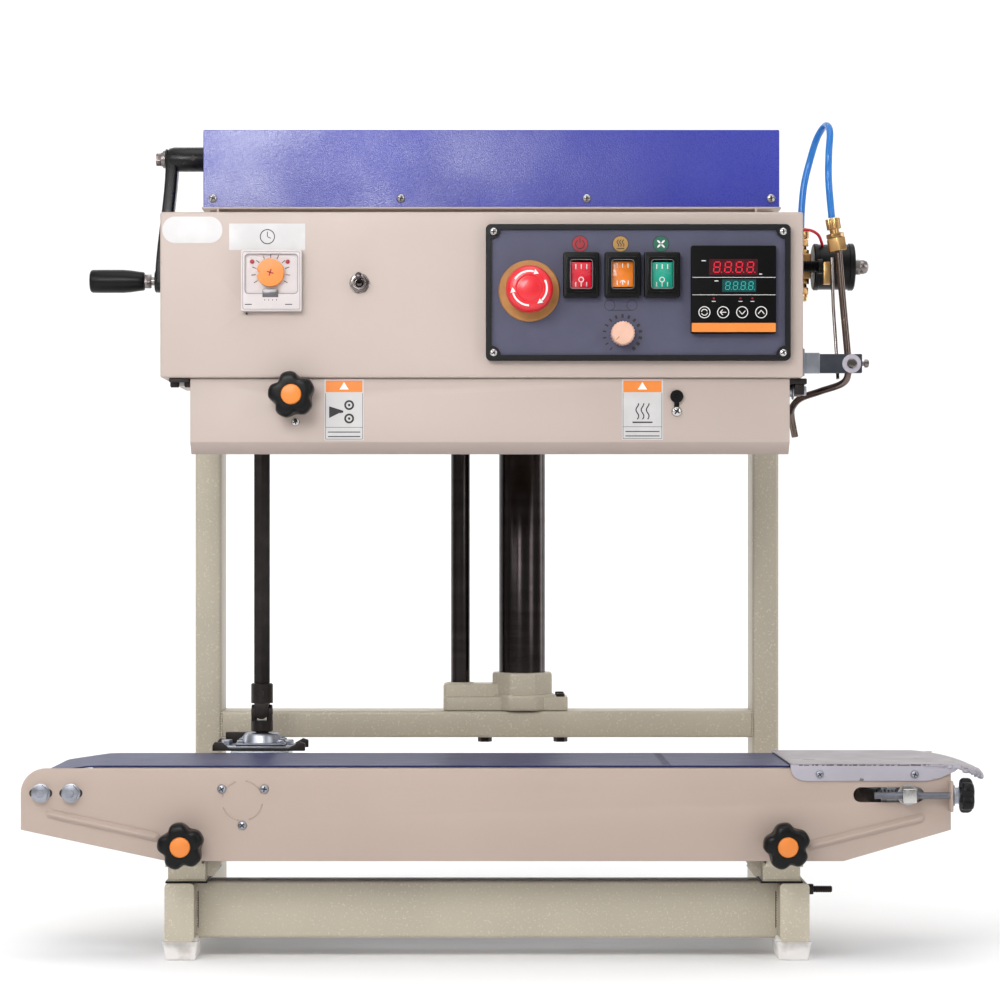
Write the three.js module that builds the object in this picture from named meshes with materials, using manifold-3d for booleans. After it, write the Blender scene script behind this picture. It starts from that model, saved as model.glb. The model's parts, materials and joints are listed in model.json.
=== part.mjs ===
// Vertical continuous band sealer with gas flushing: a welded stand with a powered conveyor, and above it a
// sealing head that climbs a column by a hand crank. Millimetres, +Z up, +X towards the infeed end, +Y to the rear.
// The pieces are laid out with Y = 0 at the front faces of the conveyor and the control box and Z = 0 on the floor,
// and the finished group is then centred over its own footprint.
import * as THREE from 'three';
import { mergeVertices } from 'three/addons/utils/BufferGeometryUtils.js';
import Module from 'manifold-3d';

const wasm = await Module();
wasm.setup();

// ---------- driving dimensions ----------
const GAP = 0.3;                       // clearance between touching pieces
const SHEET = 1.5;                     // folded sheet steel

const TUBE = { width: 25, height: 50, wall: 2 };
const STAND = {
  barX: 263, front: 20, rear: 325,     // foot bars: distance from the middle, ends
  padHeight: 17, padLength: 45, padInset: 6,
  beamFront: 45,                       // front face of the front beam
  crossZ: 175,                         // underside of the cross beam that carries the column
  uprightTop: 545,
};
const FOOT_TOP = STAND.padHeight + TUBE.height;
const COLUMN = { x: 33.4, y: STAND.rear - TUBE.width, r: 22, bore: 17, top: 590, rodX: -25.3, rodR: 9 };

const CONVEYOR = {
  left: -395, right: 393, plate: 2.5, rear: 162.5,
  top: 167, bottom: 88.4, endBottom: 115,
  kneeLeft: -271, kneeRight: 302,      // where the underside starts to slope up
  beltTop: 169, beltFront: 6, beltWidth: 150, beltT: 1.5, beltBend: -340,
};
const END_ROLLER = { x: -372, z: 146, r: 16 };
const DRIVE_ROLLER = { x: -207, z: 139.8, r: 22 };
const TAIL_ROLLER = { x: 356.4, z: 144.6, r: 22.6 };
const TENSION = { slotLeft: 310.4, slotRight: 370.3, slotR: 6.4, y: -7, screwR: 3, knobR: 15 };
const CLAMP = { left: -257, right: 252, z: 103, holeR: 4.3 };
const SHAFT = { x: -206, y: 195, flats: 14, bottom: 230, top: 524 };   // vertical hexagonal drive shaft

const BOX = { left: -277, right: 268, bottom: 498, top: 638.5, depth: 200, wall: 2 };
const CHASSIS = { half: 248, rear: 345, deck: 560, top: 667 };
const COVER = { left: -262, right: 270, front: 215, rear: 350, bottom: 668, top: 740 };
const GUARD = { left: -252, right: 257, y: 5, top: 497.7, bend: 443.5, bottom: 433.4, returnDepth: 60 };
const WHEEL = { x: 205, r: 31, bottom: 455, top: 475, axleR: 5 };
const WHEEL_Y = { front: 45, rear: 117 };
const BAND = { t: 0.8, inset: 2 };
const SEAL_BLOCK = { half: 150, depth: 15, bottom: 452, top: 478 };

const PANEL = { left: -1, right: 256.6, bottom: 512, top: 627.4, front: -7.3 };
const ESTOP = { x: 35.6, z: 570.8, headR: 20, ringR: 26, stemR: 11 };
const ROCKER = { z: 584, width: 18, height: 23, housingW: 30.5, housingH: 38.5, housingFront: -15, tilt: 8 };
const ROCKER_X = { power: 79.4, heat: 114.3, fan: 147.6 };
const SPEED = { x: 114.4, z: 534.5, r: 10 };
const THERMOSTAT = { left: 172, right: 243.6, bottom: 534.4, top: 608.5, front: -14, lip: 3 };
const TIMER = { left: -207.8, right: -156.4, bottom: 553.7, top: 605.4, front: -8, lip: 3.5 };
const TIMER_DIAL = { x: -182.7, z: 585.9, r: 12 };
const TOGGLE = { x: -108, z: 577.8, nutR: 7.25, bore: 4.5, pivotY: -3 };
const GUARD_KNOB = { x: -164.5, z: 482.8 };
const KNOB = { r: 20, lobes: 5, height: 20 };

const CRANK = { z: 724, throw: 116, hubR: 12, shaftR: 6, armOuter: -306, armInner: -293, lean: 10 };
const GRIP = { right: -320, left: -378, r: 11, tipR: 9, pinR: 4 };
const LEAD_SCREW = { r: 8, bottom: 480, top: 712, gearR: 18, gearBottom: 702 };

const SOLENOID = { x: 275.3, y: 84, z: 600, coilR: 21, coilLeft: 285, coilRight: 321, nutRight: 334 };
const HOSE_R = 3;
const HOSE_ROUTE = [                   // from the valve's outlet over to the nozzle's fitting
  [275.3, 84, 634.3], [275.8, 84, 650], [278, 84, 672], [283, 84, 693], [288.5, 76.1, 712.1],
  [293.5, 57, 720], [295, 37.9, 712.1], [293.2, 30, 693], [292.8, 30, 676], [293.6, 30, 660], [295.7, 30, 637],
];
const NOZZLE_ROUTE = [                 // from the fitting down and in to the mouth of the bag
  [301.4, 30, 609], [305, 30, 567], [309.2, 30, 521], [310, 30, 506], [305.9, 34, 495.5], [287.7, 48, 489],
  [272.5, 62, 483.7], [266.2, 72, 475.9], [266.4, 78, 467.5], [269.7, 81, 451],
];
const FITTING = { x: 296.5, xLow: 301.2, y: 30, bottom: 607.6, top: 636.4 };

// ---------- materials ----------
const finish = (color, roughness, metalness) => new THREE.MeshStandardMaterial({ color, roughness, metalness });
const MATERIAL = {
  khakiPaint: () => finish(0xb0a892, 0.5, 0.3),
  beigePaint: () => finish(0xd0c2b6, 0.5, 0.2),
  greyPaint: () => finish(0xc8c6cc, 0.45, 0.3),
  bluePaint: () => finish(0x4146aa, 0.35, 0.2),
  beltBlue: () => finish(0x4a568f, 0.45, 0),
  blackPlastic: () => finish(0x1d1d1f, 0.5, 0),
  whiteRubber: () => finish(0xe9e4e2, 0.8, 0),
  darkChrome: () => finish(0x8d8a8a, 0.2, 1),
  zincSteel: () => finish(0xa9adb2, 0.4, 0.9),
  blackSteel: () => finish(0x24211f, 0.5, 0.6),
  brass: () => finish(0xc39a5a, 0.35, 1),
  aluminium: () => finish(0xb4b6b8, 0.4, 0.9),
  ptfe: () => finish(0x8a6a48, 0.5, 0),
  hoseBlue: () => finish(0x2878dc, 0.3, 0),
  panelBlack: () => finish(0x2a2a30, 0.5, 0),
  redPlastic: () => finish(0xe0203a, 0.35, 0),
  amberPlastic: () => finish(0xe88c2c, 0.35, 0),
  greenPlastic: () => finish(0x12a288, 0.35, 0),
  creamPlastic: () => finish(0xe9c8a8, 0.5, 0),
  whitePlastic: () => finish(0xe8e4e2, 0.4, 0),
};

// ---------- solids: closed geometry to and from a boolean kernel, for joining and cutting ----------
function solid(geometry) {
  for (const name of Object.keys(geometry.attributes)) if (name !== 'position') geometry.deleteAttribute(name);
  const merged = mergeVertices(geometry, 1e-4);
  const [index, kept] = [merged.index.array, []];
  for (let i = 0; i < index.length; i += 3) {
    const [a, b, c] = [index[i], index[i + 1], index[i + 2]];
    if (a !== b && b !== c && c !== a) kept.push(a, b, c);
  }
  return new wasm.Manifold(new wasm.Mesh({
    numProp: 3,
    vertProperties: new Float32Array(merged.attributes.position.array),
    triVerts: new Uint32Array(kept),
  }));
}

function geometryOf(body) {
  const mesh = body.getMesh();
  const geometry = new THREE.BufferGeometry();
  geometry.setAttribute('position', new THREE.BufferAttribute(new Float32Array(mesh.vertProperties), 3));
  geometry.setIndex(new THREE.BufferAttribute(new Uint32Array(mesh.triVerts), 1));
  geometry.computeVertexNormals();
  return geometry;
}

const join = (first, ...others) => others.reduce((a, b) => a.add(b), first);
const cut = (first, ...others) => others.reduce((a, b) => a.subtract(b), first);
const range = (n) => Array.from({ length: n }, (_, i) => i);
const toPoints = (pairs) => pairs.map(([u, v]) => new THREE.Vector2(u, v));

function box(x0, x1, y0, y1, z0, z1) {
  const geometry = new THREE.BoxGeometry(x1 - x0, y1 - y0, z1 - z0);
  return solid(geometry.translate((x0 + x1) / 2, (y0 + y1) / 2, (z0 + z1) / 2));
}

// A cylinder or cone frustum from a to b along one axis, at (u, v) on the other two in X, Y, Z order.
function rod(axis, u, v, a, b, r, sides = 20, r2 = r) {
  const geometry = new THREE.CylinderGeometry(r2, r, b - a, sides).translate(0, (a + b) / 2, 0);
  if (axis === 'x') return solid(geometry.rotateZ(-Math.PI / 2).translate(0, u, v));
  if (axis === 'z') return solid(geometry.rotateX(Math.PI / 2).translate(u, v, 0));
  return solid(geometry.translate(u, 0, v));
}

// An outline in the X-Z plane, with holes, extruded along Y.
function plate(outline, y0, y1, holes = []) {
  const shape = new THREE.Shape(toPoints(outline));
  for (const hole of holes) shape.holes.push(new THREE.Path(toPoints(hole)));
  const geometry = new THREE.ExtrudeGeometry(shape, { depth: y1 - y0, bevelEnabled: false });
  return solid(geometry.rotateX(Math.PI / 2).translate(0, y1, 0));
}

// An outline in the X-Y plane, with holes, extruded along Z.
function slab(outline, z0, z1, holes = []) {
  const shape = new THREE.Shape(toPoints(outline));
  for (const hole of holes) shape.holes.push(new THREE.Path(toPoints(hole)));
  return solid(new THREE.ExtrudeGeometry(shape, { depth: z1 - z0, bevelEnabled: false }).translate(0, 0, z0));
}

// An outline in the Y-Z plane extruded along X.
function profile(outline, x0, x1) {
  const shape = new THREE.Shape(toPoints(outline));
  const geometry = new THREE.ExtrudeGeometry(shape, { depth: x1 - x0, bevelEnabled: false });
  return solid(geometry.rotateX(Math.PI / 2).rotateZ(Math.PI / 2).translate(x0, 0, 0));
}

function arc(cu, cv, r, from, to, steps) {
  return range(steps + 1).map((i) => {
    const angle = THREE.MathUtils.degToRad(from + ((to - from) * i) / steps);
    return [cu + r * Math.cos(angle), cv + r * Math.sin(angle)];
  });
}

const circle = (cu, cv, r, sides) => arc(cu, cv, r, 0, 360 - 360 / sides, sides - 1);
const roundSlot = (u0, u1, v, r) => [...arc(u1 - r, v, r, -90, 90, 8), ...arc(u0 + r, v, r, 90, 270, 8)];

function sweep(route, r, sides, steps) {
  const path = new THREE.CatmullRomCurve3(route.map((p) => new THREE.Vector3(...p)));
  const section = new THREE.Shape(toPoints(circle(0, 0, r, sides)));
  return solid(new THREE.ExtrudeGeometry(section, { extrudePath: path, steps, bevelEnabled: false }));
}

// ---------- scene graph ----------
const machine = new THREE.Group();
const section = { stand: new THREE.Group(), conveyor: new THREE.Group(), head: new THREE.Group() };
machine.add(...Object.values(section));

function add(group, name, body, material, position = [0, 0, 0]) {
  const mesh = new THREE.Mesh(geometryOf(body), material());
  mesh.name = name;
  mesh.position.set(...position);
  group.add(mesh);
}

// ---------- stand ----------
// Rectangular tube along one axis, open at both ends unless its low end is closed.
function tube([x0, x1], [y0, y1], [z0, z1], axis, closedLow = false) {
  const inner = [[x0, x1], [y0, y1], [z0, z1]].map(([a, b], i) => {
    if (i !== 'xyz'.indexOf(axis)) return [a + TUBE.wall, b - TUBE.wall];
    return [closedLow ? a + TUBE.wall : a - 1, b + 1];
  });
  return cut(box(x0, x1, y0, y1, z0, z1), box(...inner[0], ...inner[1], ...inner[2]));
}

// A moulded pad that narrows towards the floor.
function footPad() {
  const corner = Math.SQRT2;
  const height = STAND.padHeight - GAP;
  const frustum = new THREE.CylinderGeometry(corner, 0.84 * corner, height, 4, 1, false, Math.PI / 4)
    .rotateX(Math.PI / 2)
    .scale(TUBE.width / 2 + 3, STAND.padLength / 2, 1)
    .translate(0, 0, height / 2);
  return solid(frustum);
}

function buildStand() {
  const half = TUBE.width / 2;
  const inner = STAND.barX - half - GAP;
  const rearRange = [STAND.rear - TUBE.height, STAND.rear];
  for (const [side, sign] of [['left', -1], ['right', 1]]) {
    const x = sign * STAND.barX;
    add(section.stand, `foot_bar_${side}`,
      tube([x - half, x + half], [STAND.front, STAND.rear], [STAND.padHeight, FOOT_TOP], 'y', true),
      MATERIAL.khakiPaint);
    add(section.stand, `upright_${side}`,
      tube([x - half, x + half], rearRange, [FOOT_TOP + GAP, STAND.uprightTop], 'z'), MATERIAL.khakiPaint);
    const padY = STAND.padInset + STAND.padLength / 2;
    for (const [end, y] of [['front', STAND.front + padY], ['rear', STAND.rear - padY]]) {
      add(section.stand, `foot_pad_${end}_${side}`, footPad(), MATERIAL.whiteRubber, [x, y, 0]);
    }
  }
  add(section.stand, 'front_beam',
    tube([-inner, inner], [STAND.beamFront, STAND.beamFront + TUBE.width], [STAND.padHeight, FOOT_TOP], 'x'),
    MATERIAL.khakiPaint);
  add(section.stand, 'cross_beam',
    tube([-inner, inner], rearRange, [STAND.crossZ, STAND.crossZ + TUBE.width], 'x'), MATERIAL.khakiPaint);
}

// Casting on the cross beam that holds the feet of the column and the guide rod.
function buildColumn() {
  const { x, y, r, bore, top, rodX, rodR } = COLUMN;
  const z = STAND.crossZ + TUBE.width + GAP;
  const foot = z + 5;
  const casting = join(
    box(rodX - 16, x + 43, y - 24, y + 24, z, z + 13),
    box(rodX - 16, x, y - 17, y + 17, z, z + 25),
    rod('z', x, y, z, z + 36, r + 6, 8));
  add(section.stand, 'column_base', cut(casting,
    rod('z', x, y, foot, z + 50, r + GAP, 24), rod('z', rodX, y, foot, z + 50, rodR + GAP, 16)), MATERIAL.khakiPaint);
  // The column is a tube with a solid foot and a nut for the lead screw in its mouth.
  add(section.stand, 'column', cut(rod('z', x, y, foot + GAP, top, r, 24),
    rod('z', x, y, foot + 8, top - 30, bore, 20), rod('z', x, y, top - 40, top + 1, LEAD_SCREW.r + GAP, 16)),
    MATERIAL.darkChrome);
  add(section.stand, 'guide_rod', rod('z', rodX, y, foot + GAP, top, rodR, 16), MATERIAL.darkChrome);
}

// ---------- conveyor ----------
function sideOutline() {
  const c = CONVEYOR;
  return [
    [c.left, c.endBottom], [c.kneeLeft, c.bottom], [c.kneeRight, c.bottom], [c.right, c.endBottom],
    [c.right, c.top], ...arc(c.left + 21, c.top - 21, 21, 90, 180, 6),
  ];
}

function buildConveyorFrame() {
  const c = CONVEYOR;
  const slot = roundSlot(TENSION.slotLeft, TENSION.slotRight, TAIL_ROLLER.z, TENSION.slotR);
  const clampHoles = [CLAMP.left, CLAMP.right].map((x) => circle(x, CLAMP.z, CLAMP.holeR, 12));
  const lug = cut(box(c.right - 2, c.right, -14, 1, 130, 157),
    rod('x', TENSION.y, TAIL_ROLLER.z, c.right - 5, c.right + 5, TENSION.screwR + GAP, 12));
  add(section.conveyor, 'conveyor_plate_front', join(plate(sideOutline(), 0, c.plate, [slot, ...clampHoles]), lug),
    MATERIAL.beigePaint);
  // The rear plate and the bed under the belt are one folded sheet.
  const bedTop = c.beltTop - c.beltT - GAP;
  const bearingHole = circle(DRIVE_ROLLER.x, DRIVE_ROLLER.z, 9, 12);
  const rearPlate = plate(sideOutline(), c.rear - c.plate, c.rear, [slot, bearingHole]);
  const bed = box(-335, 330, c.beltFront, c.rear - 1, bedTop - 2, bedTop);
  add(section.conveyor, 'conveyor_bed', join(rearPlate, bed), MATERIAL.beigePaint);
}

// The belt's inner or outer outline round the end roller, the drive roller and the tail roller.
function beltOutline(offset) {
  const { beltBend, beltTop, beltT } = CONVEYOR;
  const around = (wheel, from, to, steps) => arc(wheel.x, wheel.z, wheel.r + GAP + offset, from, to, steps);
  return [
    ...around(END_ROLLER, 99, 265.8, 8), ...around(DRIVE_ROLLER, 265.8, 270.4, 1),
    ...around(TAIL_ROLLER, 270.4, 450, 10), [beltBend, beltTop - beltT + offset],
  ];
}

function buildBelt() {
  const { beltFront, beltWidth, beltT, plate: sheet, rear } = CONVEYOR;
  const beltRear = beltFront + beltWidth;
  add(section.conveyor, 'conveyor_belt',
    plate(beltOutline(beltT), beltFront, beltRear, [beltOutline(0).reverse()]), MATERIAL.beltBlue);
  const drum = (r, sides) => rod('y', 0, 0, beltFront + 1, beltRear - 1, r, sides);
  add(section.conveyor, 'end_roller',
    join(drum(END_ROLLER.r, 20), rod('y', 0, 0, sheet + GAP, rear - sheet - GAP, 5, 12)),
    MATERIAL.aluminium, [END_ROLLER.x, 0, END_ROLLER.z]);
  add(section.conveyor, 'drive_roller',
    join(drum(DRIVE_ROLLER.r, 24), rod('y', 0, 0, sheet + GAP, rear + 12, 5, 12)),
    MATERIAL.aluminium, [DRIVE_ROLLER.x, 0, DRIVE_ROLLER.z]);
  add(section.conveyor, 'tail_roller', cut(drum(TAIL_ROLLER.r, 24), rod('y', 0, 0, 0, rear, 5 + GAP, 12)),
    MATERIAL.aluminium, [TAIL_ROLLER.x, 0, TAIL_ROLLER.z]);
}

// The tail roller's axle slides in the plates' slots; a screw through its square head draws it outwards.
function buildTensioner() {
  const { y, screwR, knobR } = TENSION;
  const axle = cut(
    join(rod('y', 0, 0, -2, CONVEYOR.rear + 8, 5, 12), box(-6, 6, y - 7, -0.5, -6, 6)),
    rod('x', y, 0, -9, 9, screwR + GAP, 12));
  add(section.conveyor, 'tail_axle', axle, MATERIAL.zincSteel, [TAIL_ROLLER.x, 0, TAIL_ROLLER.z]);
  const knob = starKnob(knobR, 10).rotate([0, 90, 0]).translate([7, 0, 0]);
  add(section.conveyor, 'tension_screw', join(rod('x', 0, 0, -66, 8, screwR, 12), rod('x', 0, 0, GAP, 8, 8, 16), knob),
    MATERIAL.blackPlastic, [CONVEYOR.right, y, TAIL_ROLLER.z]);
}

// A sheet over the infeed end, with a round nose and a flange outside each side plate.
function buildInfeedCover() {
  const c = CONVEYOR;
  const z = c.beltTop + 0.5;
  const [front, rear] = [-GAP - SHEET, c.rear + GAP + SHEET];
  const tip = 423;
  const top = slab([
    [257, front], [396, front], ...arc(tip - 18, front + 30, 18, -60, 0, 4), ...arc(tip - 18, rear - 30, 18, 0, 60, 4),
    [396, rear], [257, rear],
  ], z, z + SHEET);
  const side = [...arc(269, z - 1, 12, 180, 270, 4), [380, z - 13], [390, z - 6], [394, z + 1], [257, z + 1]];
  add(section.conveyor, 'infeed_cover',
    join(top, plate(side, front, -GAP), plate(side, c.rear + GAP, rear)), MATERIAL.greyPaint);
}

// A block on the foot bar with a gusset towards the middle and an ear behind each side plate.
function supportBracket(inward) {
  const { plate: sheet, rear } = CONVEYOR;
  const deck = 86;
  const ear = (y0, y1) => plate([[-15, deck - 2], [15, deck - 2], [15, CLAMP.z + 8], [-15, CLAMP.z + 8]], y0, y1,
    [circle(0, CLAMP.z, CLAMP.holeR, 12)]);
  return join(
    box(-16, 16, STAND.front + 4, rear - 12, FOOT_TOP + GAP, deck),
    box(-16, 16, sheet + GAP, rear - sheet - GAP, deck - 3, deck),
    ear(sheet + GAP, 5.7), ear(156.5, rear - sheet - GAP),
    plate([[0, deck], [0, FOOT_TOP + 4], [inward * 22, FOOT_TOP + 4], [inward * 30, deck]], 40, 44));
}

// Five-lobed knob with a centre cap, from the origin along +Z.
function starKnob(radius, height) {
  const points = range(30).map((i) => {
    const angle = (i / 30) * 2 * Math.PI;
    const r = radius * (0.87 + 0.13 * Math.cos(KNOB.lobes * angle));
    return [r * Math.sin(angle), r * Math.cos(angle)];
  });
  return join(slab(points, 0, height * 0.75), rod('z', 0, 0, 0, height, radius * 0.45, 16));
}

// The same knob facing -Y from y0, on a screw that reaches back to y1.
function frontKnob(y0, y1) {
  return join(starKnob(KNOB.r, KNOB.height).rotate([90, 0, 0]).translate([0, y0, 0]),
    rod('y', 0, 0, y0 - 2, y1, 3.8, 12));
}

function buildClamps() {
  for (const [side, inward] of [['left', 1], ['right', -1]]) {
    add(section.conveyor, `conveyor_bracket_${side}`, supportBracket(inward), MATERIAL.khakiPaint, [CLAMP[side], 0, 0]);
    const knob = join(frontKnob(-10, 5.5), rod('y', 0, 0, -11, -GAP, 8, 16));
    add(section.conveyor, `clamp_knob_${side}`, knob, MATERIAL.blackPlastic, [CLAMP[side], 0, CLAMP.z]);
  }
}

// ---------- drive from the head down to the conveyor ----------
function buildDrive() {
  const { x, y, flats, bottom, top } = SHAFT;
  const behind = CONVEYOR.rear + GAP;
  const housing = join(
    box(x - 26, x + 26, behind, 225, 112, 170), box(x - 38, x + 30, 176, 214, 170, 174),
    rod('z', x, y, 174, 184.5, 15, 20));
  const hollow = box(x - 22, x + 22, behind + 4, 221, 105, 160);
  add(section.conveyor, 'gear_housing', cut(housing, hollow, rod('z', x, y, 150, 190, 6.3, 12),
    rod('y', DRIVE_ROLLER.x, DRIVE_ROLLER.z, behind - 5, behind + 5, 9, 12)), MATERIAL.zincSteel);
  const yoke = (z0, z1) => rod('z', x, y, z0, z1, 10, 16);
  add(section.conveyor, 'universal_joint', join(
    cut(yoke(186, 205), box(x - 12, x + 12, y - 4, y + 4, 194, 206)),
    cut(yoke(210, bottom), box(x - 4, x + 4, y - 12, y + 12, 209, 220)),
    rod('z', x, y, 190, 224, 3.9, 8), rod('z', x, y, 130, 188, 6, 12)), MATERIAL.blackSteel);
  add(section.conveyor, 'hex_shaft', rod('z', x, y, bottom + GAP, top, flats / Math.sqrt(3), 6), MATERIAL.blackSteel);
}

// ---------- head: housings ----------
function buildControlBox() {
  const { left, right, bottom, top, depth, wall } = BOX;
  const shell = cut(box(left, right, 0, depth, bottom, top),
    box(left + wall, right - wall, wall, depth + 1, bottom + wall, top - wall),
    box(PANEL.left + 8, PANEL.right - 8, -1, wall + 1, PANEL.bottom + 8, PANEL.top - 8),
    box(TIMER.left + TIMER.lip, TIMER.right - TIMER.lip, -1, wall + 1, TIMER.bottom + TIMER.lip, TIMER.top - TIMER.lip),
    rod('z', SHAFT.x, SHAFT.y - 10, bottom - 1, bottom + wall + 1, 22, 20),
    ...Object.values(WHEEL_Y).flatMap((y) => [-1, 1].map((side) => (
      rod('z', side * WHEEL.x, y, bottom - 1, bottom + wall + 1, WHEEL.axleR + GAP, 12)))));
  const bushing = cut(rod('y', TOGGLE.x, TOGGLE.z, -6, 1, TOGGLE.nutR, 6),
    rod('y', TOGGLE.x, TOGGLE.z, -7, 3, TOGGLE.bore, 12));
  const hole = rod('y', TOGGLE.x, TOGGLE.z, -1, wall + 1, TOGGLE.bore, 12);
  add(section.head, 'control_box', join(cut(shell, hole), bushing), MATERIAL.beigePaint);
}

// Rear housing that slides on the column: a folded shell, and a deck with a collar round column and guide rod.
function buildChassis() {
  const { half, rear, deck, top } = CHASSIS;
  const front = BOX.depth + GAP;
  const { x, y, r, rodX, rodR } = COLUMN;
  const shell = cut(box(-half, half, front, rear, BOX.bottom, top),
    box(-half + 2, half - 2, front - 1, rear - 2, BOX.bottom - 1, top - 2));
  const ledge = box(COVER.left, COVER.right, front, COVER.rear, top - 2, top);
  const collar = box(rodX - 20, x + 34, y - 30, y + 30, BOX.bottom + 4, deck);
  const plateDeck = box(-half + 1, half - 1, front + 4, rear - 1, deck - 3, deck);
  const body = join(shell, ledge, plateDeck, collar);
  add(section.head, 'head_chassis', cut(body,
    rod('z', x, y, BOX.bottom, top + 1, r + GAP, 24), rod('z', rodX, y, BOX.bottom, top + 1, rodR + GAP, 16),
    rod('z', x, y, deck, top + 1, r + 4, 24)), MATERIAL.beigePaint);
}

function buildCover() {
  const { left, right, front, rear, bottom, top } = COVER;
  const outer = box(left, right, front, rear, bottom, top);
  const inner = box(left + SHEET, right - SHEET, front + SHEET, rear - SHEET, bottom - 1, top - SHEET);
  add(section.head, 'top_cover', cut(outer, inner, rod('x', COLUMN.y, CRANK.z, left - 1, left + 5, CRANK.shaftR + 1, 16)),
    MATERIAL.bluePaint);
}

function buildGuard() {
  const { left, right, y, top, bend, bottom, returnDepth } = GUARD;
  const inward = bend - bottom;
  const section45 = [
    [y, top], [y, bend], [y + inward, bottom], [y + inward + 1, bottom + 1], [y + SHEET, bend + 0.6],
    [y + SHEET, top - SHEET], [y + 22, top - SHEET], [y + 22, top]];
  const side = (x) => box(x, x + SHEET, y, y + returnDepth, bend, top);
  const guard = join(profile(section45, left, right), side(left), side(right - SHEET));
  add(section.head, 'belt_guard', cut(guard, rod('y', GUARD_KNOB.x, GUARD_KNOB.z, 0, 10, CLAMP.holeR, 12)),
    MATERIAL.beigePaint);
  add(section.head, 'guard_knob', join(frontKnob(-4, 12), rod('y', 0, 0, -5, y - GAP, 7, 12)),
    MATERIAL.blackPlastic, [GUARD_KNOB.x, 0, GUARD_KNOB.z]);
}

// ---------- head: sealing mechanism ----------
function buildSealing() {
  for (const [row, y] of Object.entries(WHEEL_Y)) {
    for (const [role, side] of [['drive', -1], ['idle', 1]]) {
      const wheel = join(rod('z', 0, 0, WHEEL.bottom, WHEEL.top, WHEEL.r, 24),
        rod('z', 0, 0, WHEEL.bottom - 8, BOX.bottom + 30, WHEEL.axleR, 12),
        rod('z', 0, 0, BOX.bottom + BOX.wall + 8, BOX.bottom + 20, 16, 16));
      add(section.head, `${row}_${role}_wheel`, wheel, MATERIAL.aluminium, [side * WHEEL.x, y, 0]);
    }
    const loop = (r) => [...arc(WHEEL.x, y, r, -90, 90, 12), ...arc(-WHEEL.x, y, r, 90, 270, 12)];
    add(section.head, `${row}_seal_band`,
      slab(loop(WHEEL.r + GAP + BAND.t), WHEEL.bottom + BAND.inset, WHEEL.top - BAND.inset,
        [loop(WHEEL.r + GAP).reverse()]), MATERIAL.ptfe);
    const towards = row === 'front' ? 1 : -1;
    const face = y + towards * WHEEL.r;
    const [y0, y1] = [face, face - towards * SEAL_BLOCK.depth].sort((a, b) => a - b);
    const block = join(box(-SEAL_BLOCK.half, SEAL_BLOCK.half, y0, y1, SEAL_BLOCK.bottom, SEAL_BLOCK.top),
      ...[-1, 0, 1].map((i) => rod('z', i * 90, (y0 + y1) / 2, SEAL_BLOCK.top - 1, BOX.bottom - GAP, 5, 12)));
    add(section.head, `${row}_seal_block`, block, MATERIAL.aluminium);
  }
}

// ---------- head: controls ----------
function buildPanel() {
  const { left, right, bottom, top, front } = PANEL;
  const housings = Object.values(ROCKER_X).map((x) => box(
    x - ROCKER.housingW / 2, x + ROCKER.housingW / 2, ROCKER.housingFront, front + 3,
    ROCKER.z - ROCKER.housingH / 2, ROCKER.z + ROCKER.housingH / 2));
  const pockets = Object.values(ROCKER_X).map((x) => box(
    x - ROCKER.width / 2 - 0.5, x + ROCKER.width / 2 + 0.5, ROCKER.housingFront - 1, 3,
    ROCKER.z - ROCKER.height / 2 - 1, ROCKER.z + ROCKER.height / 2 + 1));
  const body = join(box(left, right, front, -GAP, bottom, top),
    box(left + 12, right - 12, -1, 4, bottom + 12, top - 12),
    ...housings, rod('y', ESTOP.x, ESTOP.z, -12, front + 3, ESTOP.ringR, 28));
  add(section.head, 'control_panel', cut(body, ...pockets,
    box(left + 5, right - 5, front - 1, front + 1.3, bottom + 5, top - 5).subtract(join(
      ...housings, rod('y', ESTOP.x, ESTOP.z, -20, 0, ESTOP.ringR, 28))),
    rod('y', ESTOP.x, ESTOP.z, -20, 5, ESTOP.stemR + GAP, 20),
    rod('y', SPEED.x, SPEED.z, -20, 5, 3 + GAP, 12),
    box(THERMOSTAT.left + THERMOSTAT.lip, THERMOSTAT.right - THERMOSTAT.lip, -20, 5,
      THERMOSTAT.bottom + THERMOSTAT.lip, THERMOSTAT.top - THERMOSTAT.lip)), MATERIAL.panelBlack);
}

// A rocker on a pivot across its pocket, with two faces at a shallow angle, tilted to one of its two positions.
function rocker(tilt) {
  const [w, h] = [ROCKER.width / 2, ROCKER.height / 2];
  return profile([[2, -h + 3], [-4.5, -h + 0.5], [-3, 0], [-4.5, h - 0.5], [2, h - 3]], -w, w).rotate([tilt, 0, 0]);
}

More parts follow.
